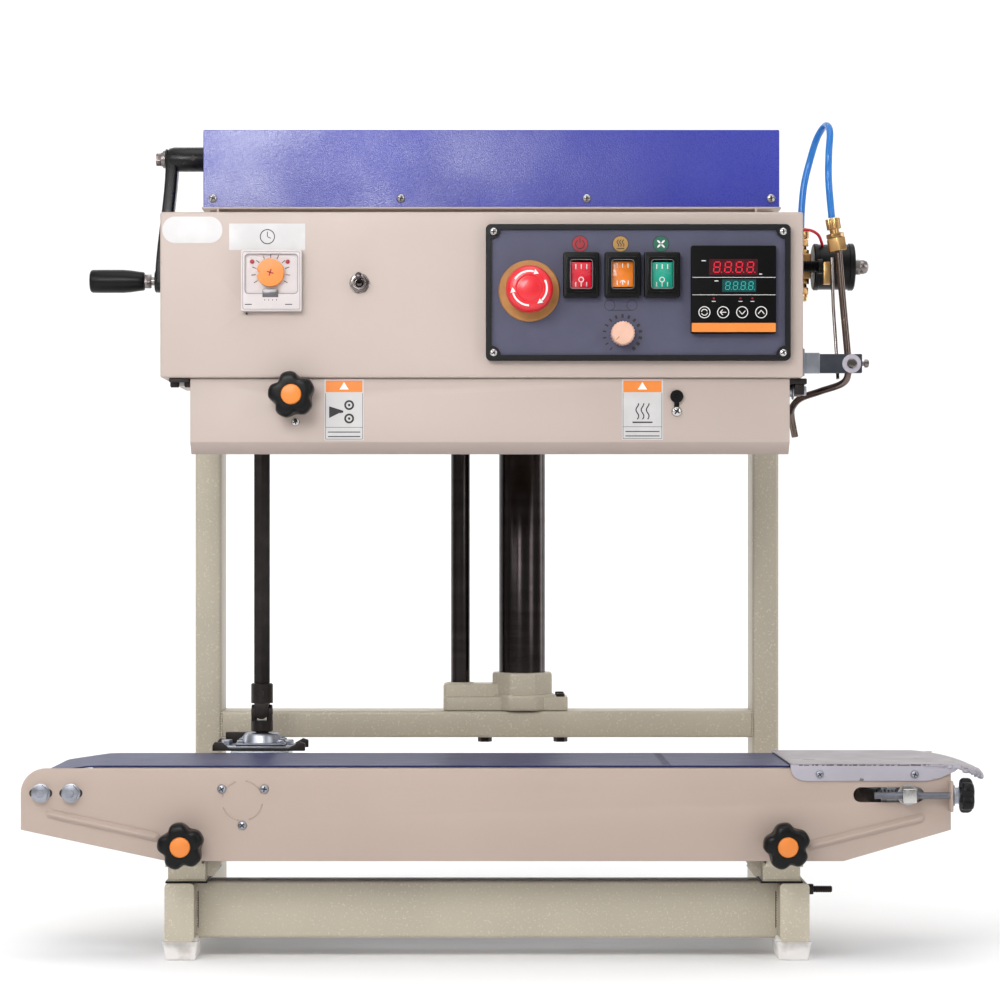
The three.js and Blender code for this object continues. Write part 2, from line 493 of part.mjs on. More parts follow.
function buildControls() {
  add(section.head, 'estop_button', join(
    rod('y', 0, 0, -34, -20, ESTOP.headR - 3, 28, ESTOP.headR), rod('y', 0, 0, -22, 3, ESTOP.stemR, 20)),
    MATERIAL.redPlastic, [ESTOP.x, 0, ESTOP.z]);
  const colours = { power: MATERIAL.redPlastic, heat: MATERIAL.amberPlastic, fan: MATERIAL.greenPlastic };
  for (const [name, x] of Object.entries(ROCKER_X)) {
    add(section.head, `${name}_rocker`, rocker(name === 'heat' ? -ROCKER.tilt : ROCKER.tilt), colours[name], [x, ROCKER.housingFront + 6.5, ROCKER.z]);
  }
  add(section.head, 'speed_knob', join(rod('y', 0, 0, -21, PANEL.front + 1, SPEED.r, 24), rod('y', 0, 0, -9, 10, 3, 12)),
    MATERIAL.creamPlastic, [SPEED.x, 0, SPEED.z]);
  const bezelled = ({ left, right, bottom, top, front, lip }, seat, depth) => join(
    box(left, right, front, seat - GAP, bottom, top),
    box(left + lip + GAP, right - lip - GAP, seat - 1, depth, bottom + lip + GAP, top - lip - GAP));
  add(section.head, 'temperature_controller', bezelled(THERMOSTAT, PANEL.front + 1.3, 60), MATERIAL.blackPlastic);
  add(section.head, 'timer_body', cut(bezelled(TIMER, 0, 50),
    rod('y', TIMER_DIAL.x, TIMER_DIAL.z, TIMER.front - 1, 4, 2.5 + GAP, 12)), MATERIAL.whitePlastic);
  add(section.head, 'timer_dial', join(rod('y', 0, 0, TIMER.front - 6, TIMER.front - GAP, TIMER_DIAL.r - 2, 24, TIMER_DIAL.r),
    rod('y', 0, 0, TIMER.front - 2, 2, 2.5, 12)), MATERIAL.amberPlastic, [TIMER_DIAL.x, 0, TIMER_DIAL.z]);
  const lever = join(solid(new THREE.SphereGeometry(3.6, 12, 8)), rod('y', 0, 0, -20, 0, 1.8, 12, 2.4));
  add(section.head, 'toggle_lever', lever.rotate([-12, 0, 0]), MATERIAL.zincSteel, [TOGGLE.x, TOGGLE.pivotY, TOGGLE.z]);
}

// ---------- head: lift and band drive ----------
function buildLift() {
  const { throw: reach, hubR, shaftR, armOuter, armInner, lean } = CRANK;
  const armFoot = armOuter - lean;
  const arm = cut(plate([
    [armInner, 12], [armOuter, 12], [armOuter, -10], [armFoot, -reach + 20], [armFoot, -reach - 11],
    [armFoot + 12, -reach - 11], [armFoot + 12, -reach + 20], [armInner, -10]], -11, 11),
    rod('x', 0, -reach, armFoot - 1, armFoot + 20, GRIP.pinR + GAP, 12));
  const shaft = join(rod('x', 0, 0, armOuter - 6, COVER.left - GAP, hubR, 24), rod('x', 0, 0, COVER.left - 2, 14, shaftR, 12),
    rod('x', 0, 0, 8, 20, 6, 16, 10));
  add(section.head, 'crank_arm', join(arm, shaft), MATERIAL.blackSteel, [0, COLUMN.y, CRANK.z]);
  const grip = join(rod('x', 0, 0, GRIP.left, GRIP.right - 6, GRIP.tipR, 20, GRIP.r),
    rod('x', 0, 0, GRIP.right - 7, armFoot - GAP, 7.3, 16), rod('x', 0, 0, armFoot - 3, armFoot + 14, GRIP.pinR, 12));
  add(section.head, 'crank_grip', grip, MATERIAL.blackPlastic, [0, COLUMN.y, CRANK.z - reach]);
  const { r, bottom, top, gearR, gearBottom } = LEAD_SCREW;
  add(section.head, 'lead_screw', join(rod('z', 0, 0, bottom, gearBottom + 1, r - 1, 16),
    rod('z', 0, 0, gearBottom, top - 3, gearR, 24), rod('z', 0, 0, top - 4, top, 9, 20)),
    MATERIAL.zincSteel, [COLUMN.x, COLUMN.y, 0]);
}

// Geared motor that stands on the chassis deck.
function buildMotor() {
  const deck = CHASSIS.deck + GAP;
  add(section.head, 'drive_motor', join(
    rod('x', 262, deck + 42, -190, -70, 34, 24), box(-170, -90, 236, 288, deck, deck + 20),
    box(-216, -186, 234, 290, deck, deck + 84), rod('x', 262, deck + 42, -72, -60, 20, 20)), MATERIAL.zincSteel);
}

// ---------- head: gas flushing ----------
function buildGas() {
  const { x, y, z, coilR, coilLeft, coilRight, nutRight } = SOLENOID;
  add(section.head, 'solenoid_valve', join(
    box(BOX.right + GAP, coilLeft + 1, y - 11, y + 11, z - 12, z + 12),
    rod('z', x, y, z - 30, z + 26, 6, 12), rod('z', x, y, z + 24, z + 34, 5, 12),
    rod('x', y, z, coilLeft, coilRight, coilR, 28), rod('x', y, z, coilRight - 1, nutRight, 6, 12, 4)), MATERIAL.brass);
  add(section.head, 'gas_hose', sweep(HOSE_ROUTE, HOSE_R, 8, 22), MATERIAL.hoseBlue);
  const { x: top, xLow, y: fy, bottom: z0, top: z1 } = FITTING;
  const slant = (t) => top + (xLow - top) * t;
  const height = z1 - z0;
  add(section.head, 'gas_nozzle', join(
    rod('z', slant(0), fy, z1 - 0.3 * height, z1, 6, 12),
    rod('z', slant(0.4), fy, z1 - 0.6 * height, z1 - 0.28 * height, 5, 12),
    rod('z', slant(0.8), fy, z0, z1 - 0.58 * height, 8, 6),
    sweep(NOZZLE_ROUTE, HOSE_R, 8, 24)), MATERIAL.brass);
  add(section.head, 'nozzle_bracket', join(
    box(BOX.right + GAP, BOX.right + 2.3, 12, 60, 500, 524), box(BOX.right + GAP, 320, 18, 26.5, 503, 519.5)),
    MATERIAL.zincSteel);
}

buildStand();
buildColumn();
buildConveyorFrame();
buildBelt();
buildTensioner();
buildInfeedCover();
buildClamps();
buildDrive();
buildControlBox();
buildChassis();
buildCover();
buildGuard();
buildSealing();
buildPanel();
buildControls();
buildLift();
buildMotor();
buildGas();

// Centre the machine over its footprint, with its feet at Z = 0.
const bounds = new THREE.Box3().setFromObject(machine, true);
const middle = bounds.getCenter(new THREE.Vector3());
machine.position.set(-middle.x, -middle.y, -bounds.min.z);

export default machine;
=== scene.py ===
"""Continuous band sealer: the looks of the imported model.

Shapes are drawn in millimetres in the machine's own layout and moved into the frame by place(). There X = 0
is midway between the foot bars, Y = 0 at the front faces of the conveyor and the control box, and Z = 0 on
the floor.
"""
import json
import math
import random

import bmesh
import bpy
from mathutils import Matrix, Vector, noise


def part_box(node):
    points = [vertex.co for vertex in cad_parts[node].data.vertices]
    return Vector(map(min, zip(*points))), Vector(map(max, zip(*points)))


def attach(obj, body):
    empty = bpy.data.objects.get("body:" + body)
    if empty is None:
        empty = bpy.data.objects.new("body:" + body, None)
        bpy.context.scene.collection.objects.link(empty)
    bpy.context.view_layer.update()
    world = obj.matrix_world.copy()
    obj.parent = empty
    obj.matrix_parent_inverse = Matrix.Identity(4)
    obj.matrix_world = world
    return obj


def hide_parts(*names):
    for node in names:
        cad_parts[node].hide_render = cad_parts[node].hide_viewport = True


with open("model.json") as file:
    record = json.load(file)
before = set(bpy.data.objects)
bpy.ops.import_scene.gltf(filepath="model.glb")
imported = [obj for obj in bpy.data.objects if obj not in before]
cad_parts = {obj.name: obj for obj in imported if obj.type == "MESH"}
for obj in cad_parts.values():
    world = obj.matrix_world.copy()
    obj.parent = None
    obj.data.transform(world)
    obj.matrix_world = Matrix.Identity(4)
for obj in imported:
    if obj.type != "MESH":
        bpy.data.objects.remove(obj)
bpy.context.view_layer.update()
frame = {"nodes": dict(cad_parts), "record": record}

MM = 0.001
CONVEYOR_REAR = 162.5                 # rear face of the conveyor's bed, in the machine's layout
_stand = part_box("foot_bar_left")[0].x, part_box("foot_bar_right")[1].x
SHIFT = Vector(((_stand[0] + _stand[1]) / 2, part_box("conveyor_bed")[1].y - CONVEYOR_REAR * MM, 0.0))
LAYOUT = Matrix.Translation(SHIFT) @ Matrix.Scale(MM, 4)
rng = random.Random(7)


# ---------------------------------------------------------------- materials
def srgb(r, g, b):
    """Linear colour from 8-bit display values."""
    def linear(c):
        c /= 255
        return c / 12.92 if c <= 0.04045 else ((c + 0.055) / 1.055) ** 2.4
    return linear(r), linear(g), linear(b), 1.0


class Finish:
    """A node material: one shader, with helpers that add texture to its colour, roughness and bump."""

    def __init__(self, name, colour, roughness, metallic=0.0, **sockets):
        self.material = bpy.data.materials.new(name)
        self.material.use_nodes = True
        self.tree = self.material.node_tree
        self.shader = self.tree.nodes["Principled BSDF"]
        self.set("Base Color", colour)
        self.set("Roughness", roughness)
        self.set("Metallic", metallic)
        for socket, value in sockets.items():
            self.set(socket.replace("_", " "), value)
        self.colour = colour
        self.last_bump = None
        self.coords = self.node("ShaderNodeTexCoord").outputs["Object"]

    def set(self, socket, value):
        self.shader.inputs[socket].default_value = value

    def node(self, kind, **values):
        """A new node. Each value goes to the input of that name or else to the setting."""
        made = self.tree.nodes.new(kind)
        for key, value in values.items():
            if key in made.inputs:
                made.inputs[key].default_value = value
            else:
                setattr(made, key, value)
        return made

    def link(self, source, target):
        self.tree.links.new(source, target)

    def noise(self, scale, detail=3.0, stretch=(1, 1, 1)):
        """Cloudy noise, finer along an axis that is stretched."""
        mapping = self.node("ShaderNodeMapping", Scale=stretch)
        self.link(self.coords, mapping.inputs["Vector"])
        texture = self.node("ShaderNodeTexNoise", Scale=scale, Detail=detail)
        self.link(mapping.outputs["Vector"], texture.inputs["Vector"])
        return texture.outputs["Fac"]

    def cells(self, scale):
        texture = self.node("ShaderNodeTexVoronoi", Scale=scale)
        self.link(self.coords, texture.inputs["Vector"])
        return texture.outputs["Distance"]

    def ramp(self, factor, stops):
        """The factor as colours, from (position, colour) stops."""
        ramp = self.node("ShaderNodeValToRGB")
        elements = ramp.color_ramp.elements
        while len(elements) < len(stops):
            elements.new(0.5)
        for element, (position, colour) in zip(elements, stops):
            element.position = position
            element.color = colour if len(colour) == 4 else (*colour, 1)
        self.link(factor, ramp.inputs["Fac"])
        return ramp.outputs["Color"]

    def bump(self, height, strength, distance):
        """Adds relief on top of any that is there already."""
        bump = self.node("ShaderNodeBump", Strength=strength, Distance=distance)
        self.link(height, bump.inputs["Height"])
        if self.last_bump:
            self.link(self.last_bump, bump.inputs["Normal"])
        self.last_bump = bump.outputs["Normal"]
        self.link(self.last_bump, self.shader.inputs["Normal"])
        return self

    def tint(self, factor, other, low=0.35, high=0.65, start=None):
        """Mixes another colour over the base where factor is high."""
        mask = self.ramp(factor, [(low, (0, 0, 0)), (high, (1, 1, 1))])
        mix = self.node("ShaderNodeMix", data_type="RGBA")
        self.link(mask, mix.inputs[0])
        if start is None:
            mix.inputs[6].default_value = self.colour
        else:
            self.link(start, mix.inputs[6])
        mix.inputs[7].default_value = other
        self.link(mix.outputs[2], self.shader.inputs["Base Color"])
        return mix.outputs[2]

    def roughen(self, factor, low, high, socket="Roughness"):
        """A socket's value, the roughness unless told otherwise, from low to high over the factor."""
        span = self.node("ShaderNodeMapRange", **{"To Min": low, "To Max": high})
        self.link(factor, span.inputs["Value"])
        self.link(span.outputs["Result"], self.shader.inputs[socket])
        return self

    def edges(self):
        """Where the surface turns sharply outwards."""
        return self.node("ShaderNodeNewGeometry").outputs["Pointiness"]


def shade(colour, k):
    """The colour made lighter or darker."""
    return tuple(min(1.0, c * k) for c in colour[:3]) + (1.0,)


def hammertone():
    base = srgb(190, 181, 163)
    f = Finish("khaki_hammertone", base, 0.42, 0.15)
    mottled = f.tint(f.noise(14, 2), shade(base, 0.9), 0.3, 0.75)
    # Painted glints: pale dots from cells lighten the colour where the hammertone's flakes would sparkle.
    sparkle_glints = f.cells(650)
    f.tint(sparkle_glints, shade(base, 1.16), 0.72, 0.82, start=mottled)
    f.roughen(f.noise(700, 2), 0.3, 0.55)
    return f.bump(f.noise(650, 2), 0.2, 0.0004).bump(f.noise(9, 2), 0.05, 0.003).material


def powder_beige(name, base):
    f = Finish(name, base, 0.45, 0.0, Specular_IOR_Level=0.45)
    cloud = f.tint(f.noise(5, 3), shade(base, 0.93), 0.35, 0.75)
    f.tint(f.edges(), shade(base, 0.75), 0.54, 0.6, start=cloud)
    f.roughen(f.noise(40, 3), 0.36, 0.55)
    return f.bump(f.noise(900, 2), 0.12, 0.0003).bump(f.noise(6, 1), 0.03, 0.004).material


def orange_peel_blue():
    """Blue under a grainy clear coat, whose cloudy haze fades towards the machine's right."""
    base = srgb(18, 32, 150)
    f = Finish("blue_orange_peel", base, 0.45, 0.0, Coat_Weight=1.0, Coat_Roughness=0.3, Coat_IOR=2.1)
    f.tint(f.noise(7, 4), shade(base, 1.2), 0.42, 0.7)
    across = f.node("ShaderNodeSeparateXYZ")
    f.link(f.coords, across.inputs["Vector"])
    fade = f.node("ShaderNodeMapRange", **{"From Min": -0.2, "From Max": 0.16, "To Min": 1.0, "To Max": 0.1})
    f.link(across.outputs["X"], fade.inputs["Value"])
    haze = f.node("ShaderNodeMath", operation="MULTIPLY")
    f.link(f.ramp(f.noise(11, 3), [(0.38, (0.35, 0.35, 0.35)), (0.6, (1, 1, 1))]), haze.inputs[0])
    f.link(fade.outputs["Result"], haze.inputs[1])
    f.roughen(haze.outputs["Value"], 0.15, 1.0, "Coat Weight")
    grain = f.ramp(f.noise(1100, 1), [(0.35, (0, 0, 0)), (0.65, (1, 1, 1))])
    f.roughen(grain, 0.2, 0.42, "Coat Roughness")
    f.bump(f.noise(1100, 1), 0.6, 0.0005).bump(f.noise(8, 2), 0.3, 0.004)
    f.link(f.last_bump, f.shader.inputs["Coat Normal"])
    return f.material


def worn_grey(name, base):
    f = Finish(name, base, 0.4, 0.1)
    cloud = f.tint(f.noise(18, 4), shade(base, 0.85), 0.4, 0.8)
    f.tint(f.noise(60, 6), srgb(92, 88, 86), 0.66, 0.7, start=cloud)
    f.roughen(f.noise(50, 3), 0.28, 0.55)
    return f.bump(f.noise(60, 6), 0.2, 0.0006).material


def belt_fabric():
    base = srgb(40, 44, 88)
    f = Finish("belt_pvc", base, 0.42, 0.0, Specular_IOR_Level=0.3)
    f.tint(f.noise(10, 3, (1, 6, 1)), shade(base, 1.25), 0.4, 0.75)
    weave = f.node("ShaderNodeTexWave", bands_direction="X", Scale=320)
    f.link(f.coords, weave.inputs["Vector"])
    f.roughen(f.noise(30, 3, (1, 8, 1)), 0.32, 0.55)
    return f.bump(weave.outputs["Fac"], 0.12, 0.0002).bump(f.noise(600, 2), 0.15, 0.0002).material


def moulded(name, base, roughness, grain, **sockets):
    f = Finish(name, base, roughness, 0.0, **sockets)
    f.tint(f.noise(60, 3), shade(base, 1.12), 0.45, 0.85)
    f.roughen(f.noise(150, 3), roughness - 0.08, roughness + 0.1)
    return f.bump(f.noise(1200, 2), grain, 0.0002).material


def pad_rubber():
    base = srgb(232, 227, 224)
    f = Finish("white_pad_rubber", base, 0.75, 0.0, Subsurface_Weight=0.05)
    f.tint(f.noise(70, 4), srgb(196, 188, 182), 0.5, 0.75)
    return f.bump(f.noise(160, 3), 0.5, 0.001).material


def polished(name, base, streak=(1, 1, 14), roughness=0.16):
    """Ground steel: fine rings or streaks across the ground direction."""
    f = Finish(name, base, roughness, 1.0)
    f.tint(f.noise(8, 3, streak), shade(base, 0.6), 0.35, 0.75)
    f.roughen(f.noise(60, 4, streak), roughness - 0.05, roughness + 0.14)
    return f.bump(f.noise(250, 2, streak), 0.06, 0.0002).material


def plated(name, base, roughness=0.32, metallic=1.0, spots=0.8):
    f = Finish(name, base, roughness, metallic)
    f.tint(f.noise(90, 4), shade(base, spots), 0.4, 0.7)
    f.roughen(f.noise(120, 3), roughness - 0.1, roughness + 0.15)
    return f.bump(f.noise(500, 2), 0.08, 0.0002).material


def lamp(name, colour, strength):
    f = Finish(name, colour, 0.3, 0.0, Emission_Color=colour, Emission_Strength=strength)
    f.roughen(f.noise(300, 2), 0.25, 0.4)
    return f.material


def clear_hose():
    f = Finish("blue_polyurethane", srgb(56, 146, 226), 0.1, 0.0, Transmission_Weight=0.5, IOR=1.4)
    f.roughen(f.noise(80, 2), 0.1, 0.2)
    return f.bump(f.noise(60, 2), 0.1, 0.0004).material


def ptfe_cloth():
    base = srgb(138, 106, 72)
    f = Finish("ptfe_glass_cloth", base, 0.4, 0.0)
    f.tint(f.noise(40, 3, (1, 1, 4)), shade(base, 0.7), 0.4, 0.75)
    weave = f.node("ShaderNodeTexChecker", Scale=900)
    f.link(f.coords, weave.inputs["Vector"])
    return f.bump(weave.outputs["Fac"], 0.2, 0.0002).material


MAT = {
    "khaki": hammertone(),
    "beige": powder_beige("beige_powder_coat", srgb(180, 165, 157)),
    "conveyor": powder_beige("conveyor_powder_coat", srgb(176, 158, 147)),
    "blue": orange_peel_blue(),
    "grey": worn_grey("worn_grey_paint", srgb(146, 138, 143)),
    "pale_grey": worn_grey("worn_pale_paint", srgb(168, 164, 174)),
    "belt": belt_fabric(),
    # Black plastic, and also the painted shadow strip under the conveyor brackets.
    "black": moulded("black_moulded_and_shadow", srgb(12, 12, 13), 0.32, 0.1, Specular_IOR_Level=0.2),
    "panel": moulded("panel_plate", srgb(68, 68, 90), 0.6, 0.35),
    "panel_rim": moulded("panel_rim", srgb(13, 13, 16), 0.5, 0.25, Specular_IOR_Level=0.25),
    "white": moulded("white_moulding", srgb(192, 184, 184), 0.4, 0.1),
    "orange": moulded("orange_moulding", srgb(216, 124, 48), 0.38, 0.1),
    "red": moulded("red_moulding", srgb(206, 26, 38), 0.3, 0.05, Coat_Weight=0.3),
    "peach": moulded("peach_moulding", srgb(208, 166, 146), 0.45, 0.1),
    "rocker_red": moulded("rocker_red", srgb(214, 10, 44), 0.25, 0.05, Coat_Weight=0.4),
    "rocker_amber": moulded("rocker_amber", srgb(226, 122, 20), 0.25, 0.05, Coat_Weight=0.4),
    "rocker_green": moulded("rocker_green", srgb(8, 158, 132), 0.25, 0.05, Coat_Weight=0.4),
    "pad": pad_rubber(),
    "chrome": polished("ground_dark_steel", srgb(66, 60, 60)),
    "zinc": plated("zinc_plate", srgb(160, 163, 172)),
    "steel": plated("bright_steel", srgb(200, 198, 196), 0.22),
    "oxide": plated("black_oxide", srgb(38, 33, 31), 0.42, 0.6, 1.5),
    "brass": plated("machined_brass", srgb(196, 156, 104), 0.28),
    "aluminium": polished("turned_aluminium", srgb(190, 192, 196), (1, 14, 1), 0.28),
    "ptfe": ptfe_cloth(),
    "hose": clear_hose(),
    "display_red": lamp("display_red", srgb(196, 16, 40), 0.35),
    "display_green": lamp("display_green", srgb(20, 150, 140), 0.3),
    "display_glass": moulded("display_glass", srgb(60, 8, 18), 0.2, 0.02, Coat_Weight=0.6),
    # Dark print, and also painted shade in slots, vents and screw recesses.
    "ink_and_shade_dark": moulded("dark_print_and_shade", srgb(35, 32, 34), 0.6, 0.05),
    "ink_white": moulded("white_ink", srgb(222, 220, 218), 0.55, 0.05),
    "label": moulded("label_film", srgb(188, 186, 186), 0.35, 0.03, Coat_Weight=0.2),
    "ink_red": moulded("red_ink", srgb(150, 26, 42), 0.5, 0.05),
    "ink_tan": moulded("tan_ink", srgb(164, 124, 62), 0.5, 0.05),
    "ink_green": moulded("green_ink", srgb(14, 92, 72), 0.5, 0.05),
    "ink_red_dim": moulded("dim_red_lens", srgb(120, 20, 26), 0.25, 0.02, Coat_Weight=0.5),
    "display_glass_green": moulded("display_glass_green", srgb(12, 62, 64), 0.2, 0.02, Coat_Weight=0.6),
    "display_glass_grey": moulded("display_glass_grey", srgb(92, 88, 92), 0.2, 0.02, Coat_Weight=0.5),
    "black_gloss": moulded("black_gloss", srgb(5, 5, 6), 0.45, 0.05, Specular_IOR_Level=0.1),
    "black_cast": moulded("black_enamel_casting", srgb(12, 11, 11), 0.28, 0.3, Specular_IOR_Level=0.3),
    "tan_plate": plated("estop_plate", srgb(168, 118, 66), 0.5, 0.35),
    "wire_red": moulded("red_wire", srgb(196, 22, 44), 0.35, 0.05),
    "tube_steel": plated("worn_steel_tube", srgb(112, 98, 92), 0.2, 1.0, 0.85),
    "dark_zinc": plated("dark_zinc_bar", srgb(66, 68, 76), 0.42, 0.85),
    # Only for painted edge highlights on the rocker boots and painted edge shade on the timer frame.
    "edge_grey": moulded("edge_sheen_and_shade", srgb(128, 122, 124), 0.5, 0.05),
    "nickel": plated("nickel_plate", srgb(142, 134, 132), 0.18, 1.0, 0.6),
    "dark_steel": plated("dark_steel", srgb(96, 90, 92), 0.2, 1.0, 0.7),
}


# ---------------------------------------------------------------- shapes, in millimetres
RANK = {"x": (1, 2, 0), "y": (0, 2, 1), "z": (0, 1, 2)}      # where (u, v, along) go for an axis


def spot(axis, u, v, along):
    """The point at (u, v) across an axis and at a place along it."""
    point = [0.0, 0.0, 0.0]
    for value, index in zip((u, v, along), RANK[axis]):
        point[index] = value
    return Vector(point)


def bridge(part, rings):
    """Faces between neighbouring rings of vertices. All rings have one count and close on themselves."""
    for low, high in zip(rings, rings[1:]):
        for i in range(len(low)):
            j = (i + 1) % len(low)
            part.faces.new((low[i], low[j], high[j], high[i]))


class Shape:
    """A mesh in millimetres, to which solids are added one by one."""

    def __init__(self):
        self.bm = bmesh.new()

    def absorb(self, part, bevel=0.0, segments=2, angle=30):
        """Bevels one solid's sharp edges and adds it."""
        bmesh.ops.recalc_face_normals(part, faces=part.faces)
        if bevel:
            sharp = [e for e in part.edges if len(e.link_faces) == 2 and
                     e.calc_face_angle(0) > math.radians(angle)]
            bmesh.ops.bevel(part, geom=sharp, offset=bevel, segments=segments, profile=0.6,
                            affect="EDGES", clamp_overlap=True)
        mesh = bpy.data.meshes.new("scratch")
        part.to_mesh(mesh)
        part.free()
        self.bm.from_mesh(mesh)
        bpy.data.meshes.remove(mesh)
        return self

    def box(self, x, y, z, bevel=0.5, segments=2, spin=None):
        part = bmesh.new()
        bmesh.ops.create_cube(part, size=1)
        centre = Vector(((x[0] + x[1]) / 2, (y[0] + y[1]) / 2, (z[0] + z[1]) / 2))
        size = Matrix.Diagonal((x[1] - x[0], y[1] - y[0], z[1] - z[0], 1))
        part.transform(Matrix.Translation(centre) @ (spin or Matrix()) @ size)
        return self.absorb(part, bevel, segments)

    def turn(self, axis, at, profile, sides=48, bevel=0.0, lean=None):
        """Revolves (radius, along) pairs. A radius of 0 closes an end, otherwise a flat cap does."""
        part = bmesh.new()
        rings = []
        for radius, along in profile:
            if radius == 0:
                rings.append([part.verts.new(spot(axis, at[0], at[1], along))])
                continue
            rings.append([part.verts.new(spot(
                axis, at[0] + radius * math.cos(a), at[1] + radius * math.sin(a), along))
                for a in (2 * math.pi * i / sides for i in range(sides))])
        for low, high in zip(rings, rings[1:]):
            for i in range(sides):
                j = (i + 1) % sides
                if len(low) == 1:
                    part.faces.new((low[0], high[i], high[j]))
                elif len(high) == 1:
                    part.faces.new((low[i], low[j], high[0]))
                else:
                    part.faces.new((low[i], low[j], high[j], high[i]))
        for ring in (rings[0], rings[-1]):
            if len(ring) > 1 and profile[0] != profile[-1]:
                part.faces.new(ring)
        if lean is not None:
            part.transform(lean)
        return self.absorb(part, bevel, 2, 40)

    def cylinder(self, axis, at, radius, start, end, sides=48, bevel=0.0, lean=None):
        return self.turn(axis, at, [(0, start), (radius, start), (radius, end), (0, end)], sides, bevel, lean)

    def prism(self, axis, outline, low, high, bevel=0.4, segments=2, lean=None):
        """Extrudes (u, v) pairs along an axis."""
        part = bmesh.new()
        ends = [[part.verts.new(spot(axis, u, v, along)) for u, v in outline] for along in (low, high)]
        part.faces.new(ends[0])
        part.faces.new(ends[1])
        for i in range(len(outline)):
            j = (i + 1) % len(outline)
            part.faces.new((ends[0][i], ends[0][j], ends[1][j], ends[1][i]))
        if lean is not None:
            part.transform(lean)
        return self.absorb(part, bevel, segments)

    def sweep(self, points, radius, sides=16, bore=0.0):
        """A round bar, or with a bore a tube, along a list of points."""
        path = [Vector(p) for p in points]
        part = bmesh.new()
        up = Vector((0, 1, 0)) if abs((path[1] - path[0]).normalized().y) < 0.9 else Vector((1, 0, 0))
        rings, inner = [], []
        for i, centre in enumerate(path):
            ahead = (path[min(i + 1, len(path) - 1)] - path[max(i - 1, 0)]).normalized()
            side = ahead.cross(up).normalized()
            up = side.cross(ahead).normalized()
            for ring, r in ((rings, radius), (inner, bore)):
                if r:
                    ring.append([part.verts.new(centre + (side * math.cos(a) + up * math.sin(a)) * r)
                                 for a in (2 * math.pi * k / sides for k in range(sides))])
        bridge(part, rings)
        bridge(part, inner)
        for end in (0, -1):
            if inner:
                for k in range(sides):
                    j = (k + 1) % sides
                    part.faces.new((rings[end][k], rings[end][j], inner[end][j], inner[end][k]))
            else:
                part.faces.new(rings[end])
        return self.absorb(part)

    def copy_of(self, node, bevel):
        """A CAD node's own solid, with its flat faces merged and its edges rounded."""
        part = bmesh.new()
        part.from_mesh(frame["nodes"][node].data)
        part.transform(LAYOUT.inverted())
        bmesh.ops.remove_doubles(part, verts=part.verts, dist=0.02)
        bmesh.ops.dissolve_limit(part, angle_limit=math.radians(1), verts=part.verts, edges=part.edges)
        return self.absorb(part, bevel, 2, 25)


def place(shape, name, finish, body, stands_for=(), smooth=35):
    """Makes the finished piece in the frame, riding on its body."""
    bmesh.ops.recalc_face_normals(shape.bm, faces=shape.bm.faces)
    mesh = bpy.data.meshes.new(name)
    shape.bm.to_mesh(mesh)
    shape.bm.free()
    mesh.transform(LAYOUT)
    mesh.materials.append(MAT[finish])
    piece = bpy.data.objects.new(name, mesh)
    bpy.context.scene.collection.objects.link(piece)
    mesh.shade_smooth()
    mesh.set_sharp_from_angle(angle=math.radians(smooth))
    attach(piece, body)
    if stands_for:
        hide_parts(*stands_for)
    return piece


def polar(u, v, r, a):
    """The point at distance r and angle a, in radians, from (u, v)."""
    return u + r * math.cos(a), v + r * math.sin(a)


def arc(u, v, r, start, end, steps):
    """Points on an arc round (u, v), between two angles in degrees."""
    return [polar(u, v, r, math.radians(start + (end - start) * i / steps)) for i in range(steps + 1)]


def circle(u, v, r, sides=32):
    return arc(u, v, r, 0, 360 - 360 / sides, sides - 1)


def polygon(at, r, turn=0.0, sides=6):
    """A regular polygon, a hexagon unless told otherwise, with its corners on a circle."""
    return [polar(*at, r, 2 * math.pi * i / sides + turn) for i in range(sides)]


def rounded(u, v, r, steps=4):
    """A rectangle with round corners."""
    (u0, u1), (v0, v1) = u, v
    return (arc(u1 - r, v0 + r, r, -90, 0, steps) + arc(u1 - r, v1 - r, r, 0, 90, steps) +
            arc(u0 + r, v1 - r, r, 90, 180, steps) + arc(u0 + r, v0 + r, r, 180, 270, steps))


def smooth_path(points, per_span=8):
    """A Catmull-Rom curve through the points."""
    p = [Vector(q) for q in points]
    p = [p[0] * 2 - p[1]] + p + [p[-1] * 2 - p[-2]]
    path = []
    for i in range(1, len(p) - 2):
        for k in range(per_span):
            t = k / per_span
            path.append(0.5 * (2 * p[i] + (p[i + 1] - p[i - 1]) * t +
                               (2 * p[i - 1] - 5 * p[i] + 4 * p[i + 1] - p[i + 2]) * t * t +
                               (3 * p[i] - p[i - 1] - 3 * p[i + 1] + p[i + 2]) * t ** 3))
    return path + [p[-2]]


# ---------------------------------------------------------------- camera, light, floor
CAMERA_BACK, CAMERA_HEIGHT = 2400, 352       # from the front plane, and above the floor


MACHINE, BACKDROP = (0, 0, 0.4), (0, 4.6, 0.9)
SOFTBOXES = (                                # place, size, aim, watts
    ((-0.34, -1.25, 0.98), (0.6, 0.4), MACHINE, 7),
    ((-1.15, -1.2, 1.2), (0.9, 1.1), MACHINE, 8),
    ((1.3, -1.1, 0.9), (0.5, 1.1), MACHINE, 5.5),
    ((0.1, -0.5, 2.5), (1.6, 1.6), MACHINE, 12),
    ((0.0, 2.4, 3.4), (5.0, 1.2), BACKDROP, 90),
    ((-1.9, 0.9, 0.7), (0.6, 1.2), MACHINE, 5),
    ((1.9, 0.9, 0.7), (0.6, 1.2), MACHINE, 6),
    ((-1.05, -4.5, 1.35), (0.9, 0.5), MACHINE, 12))


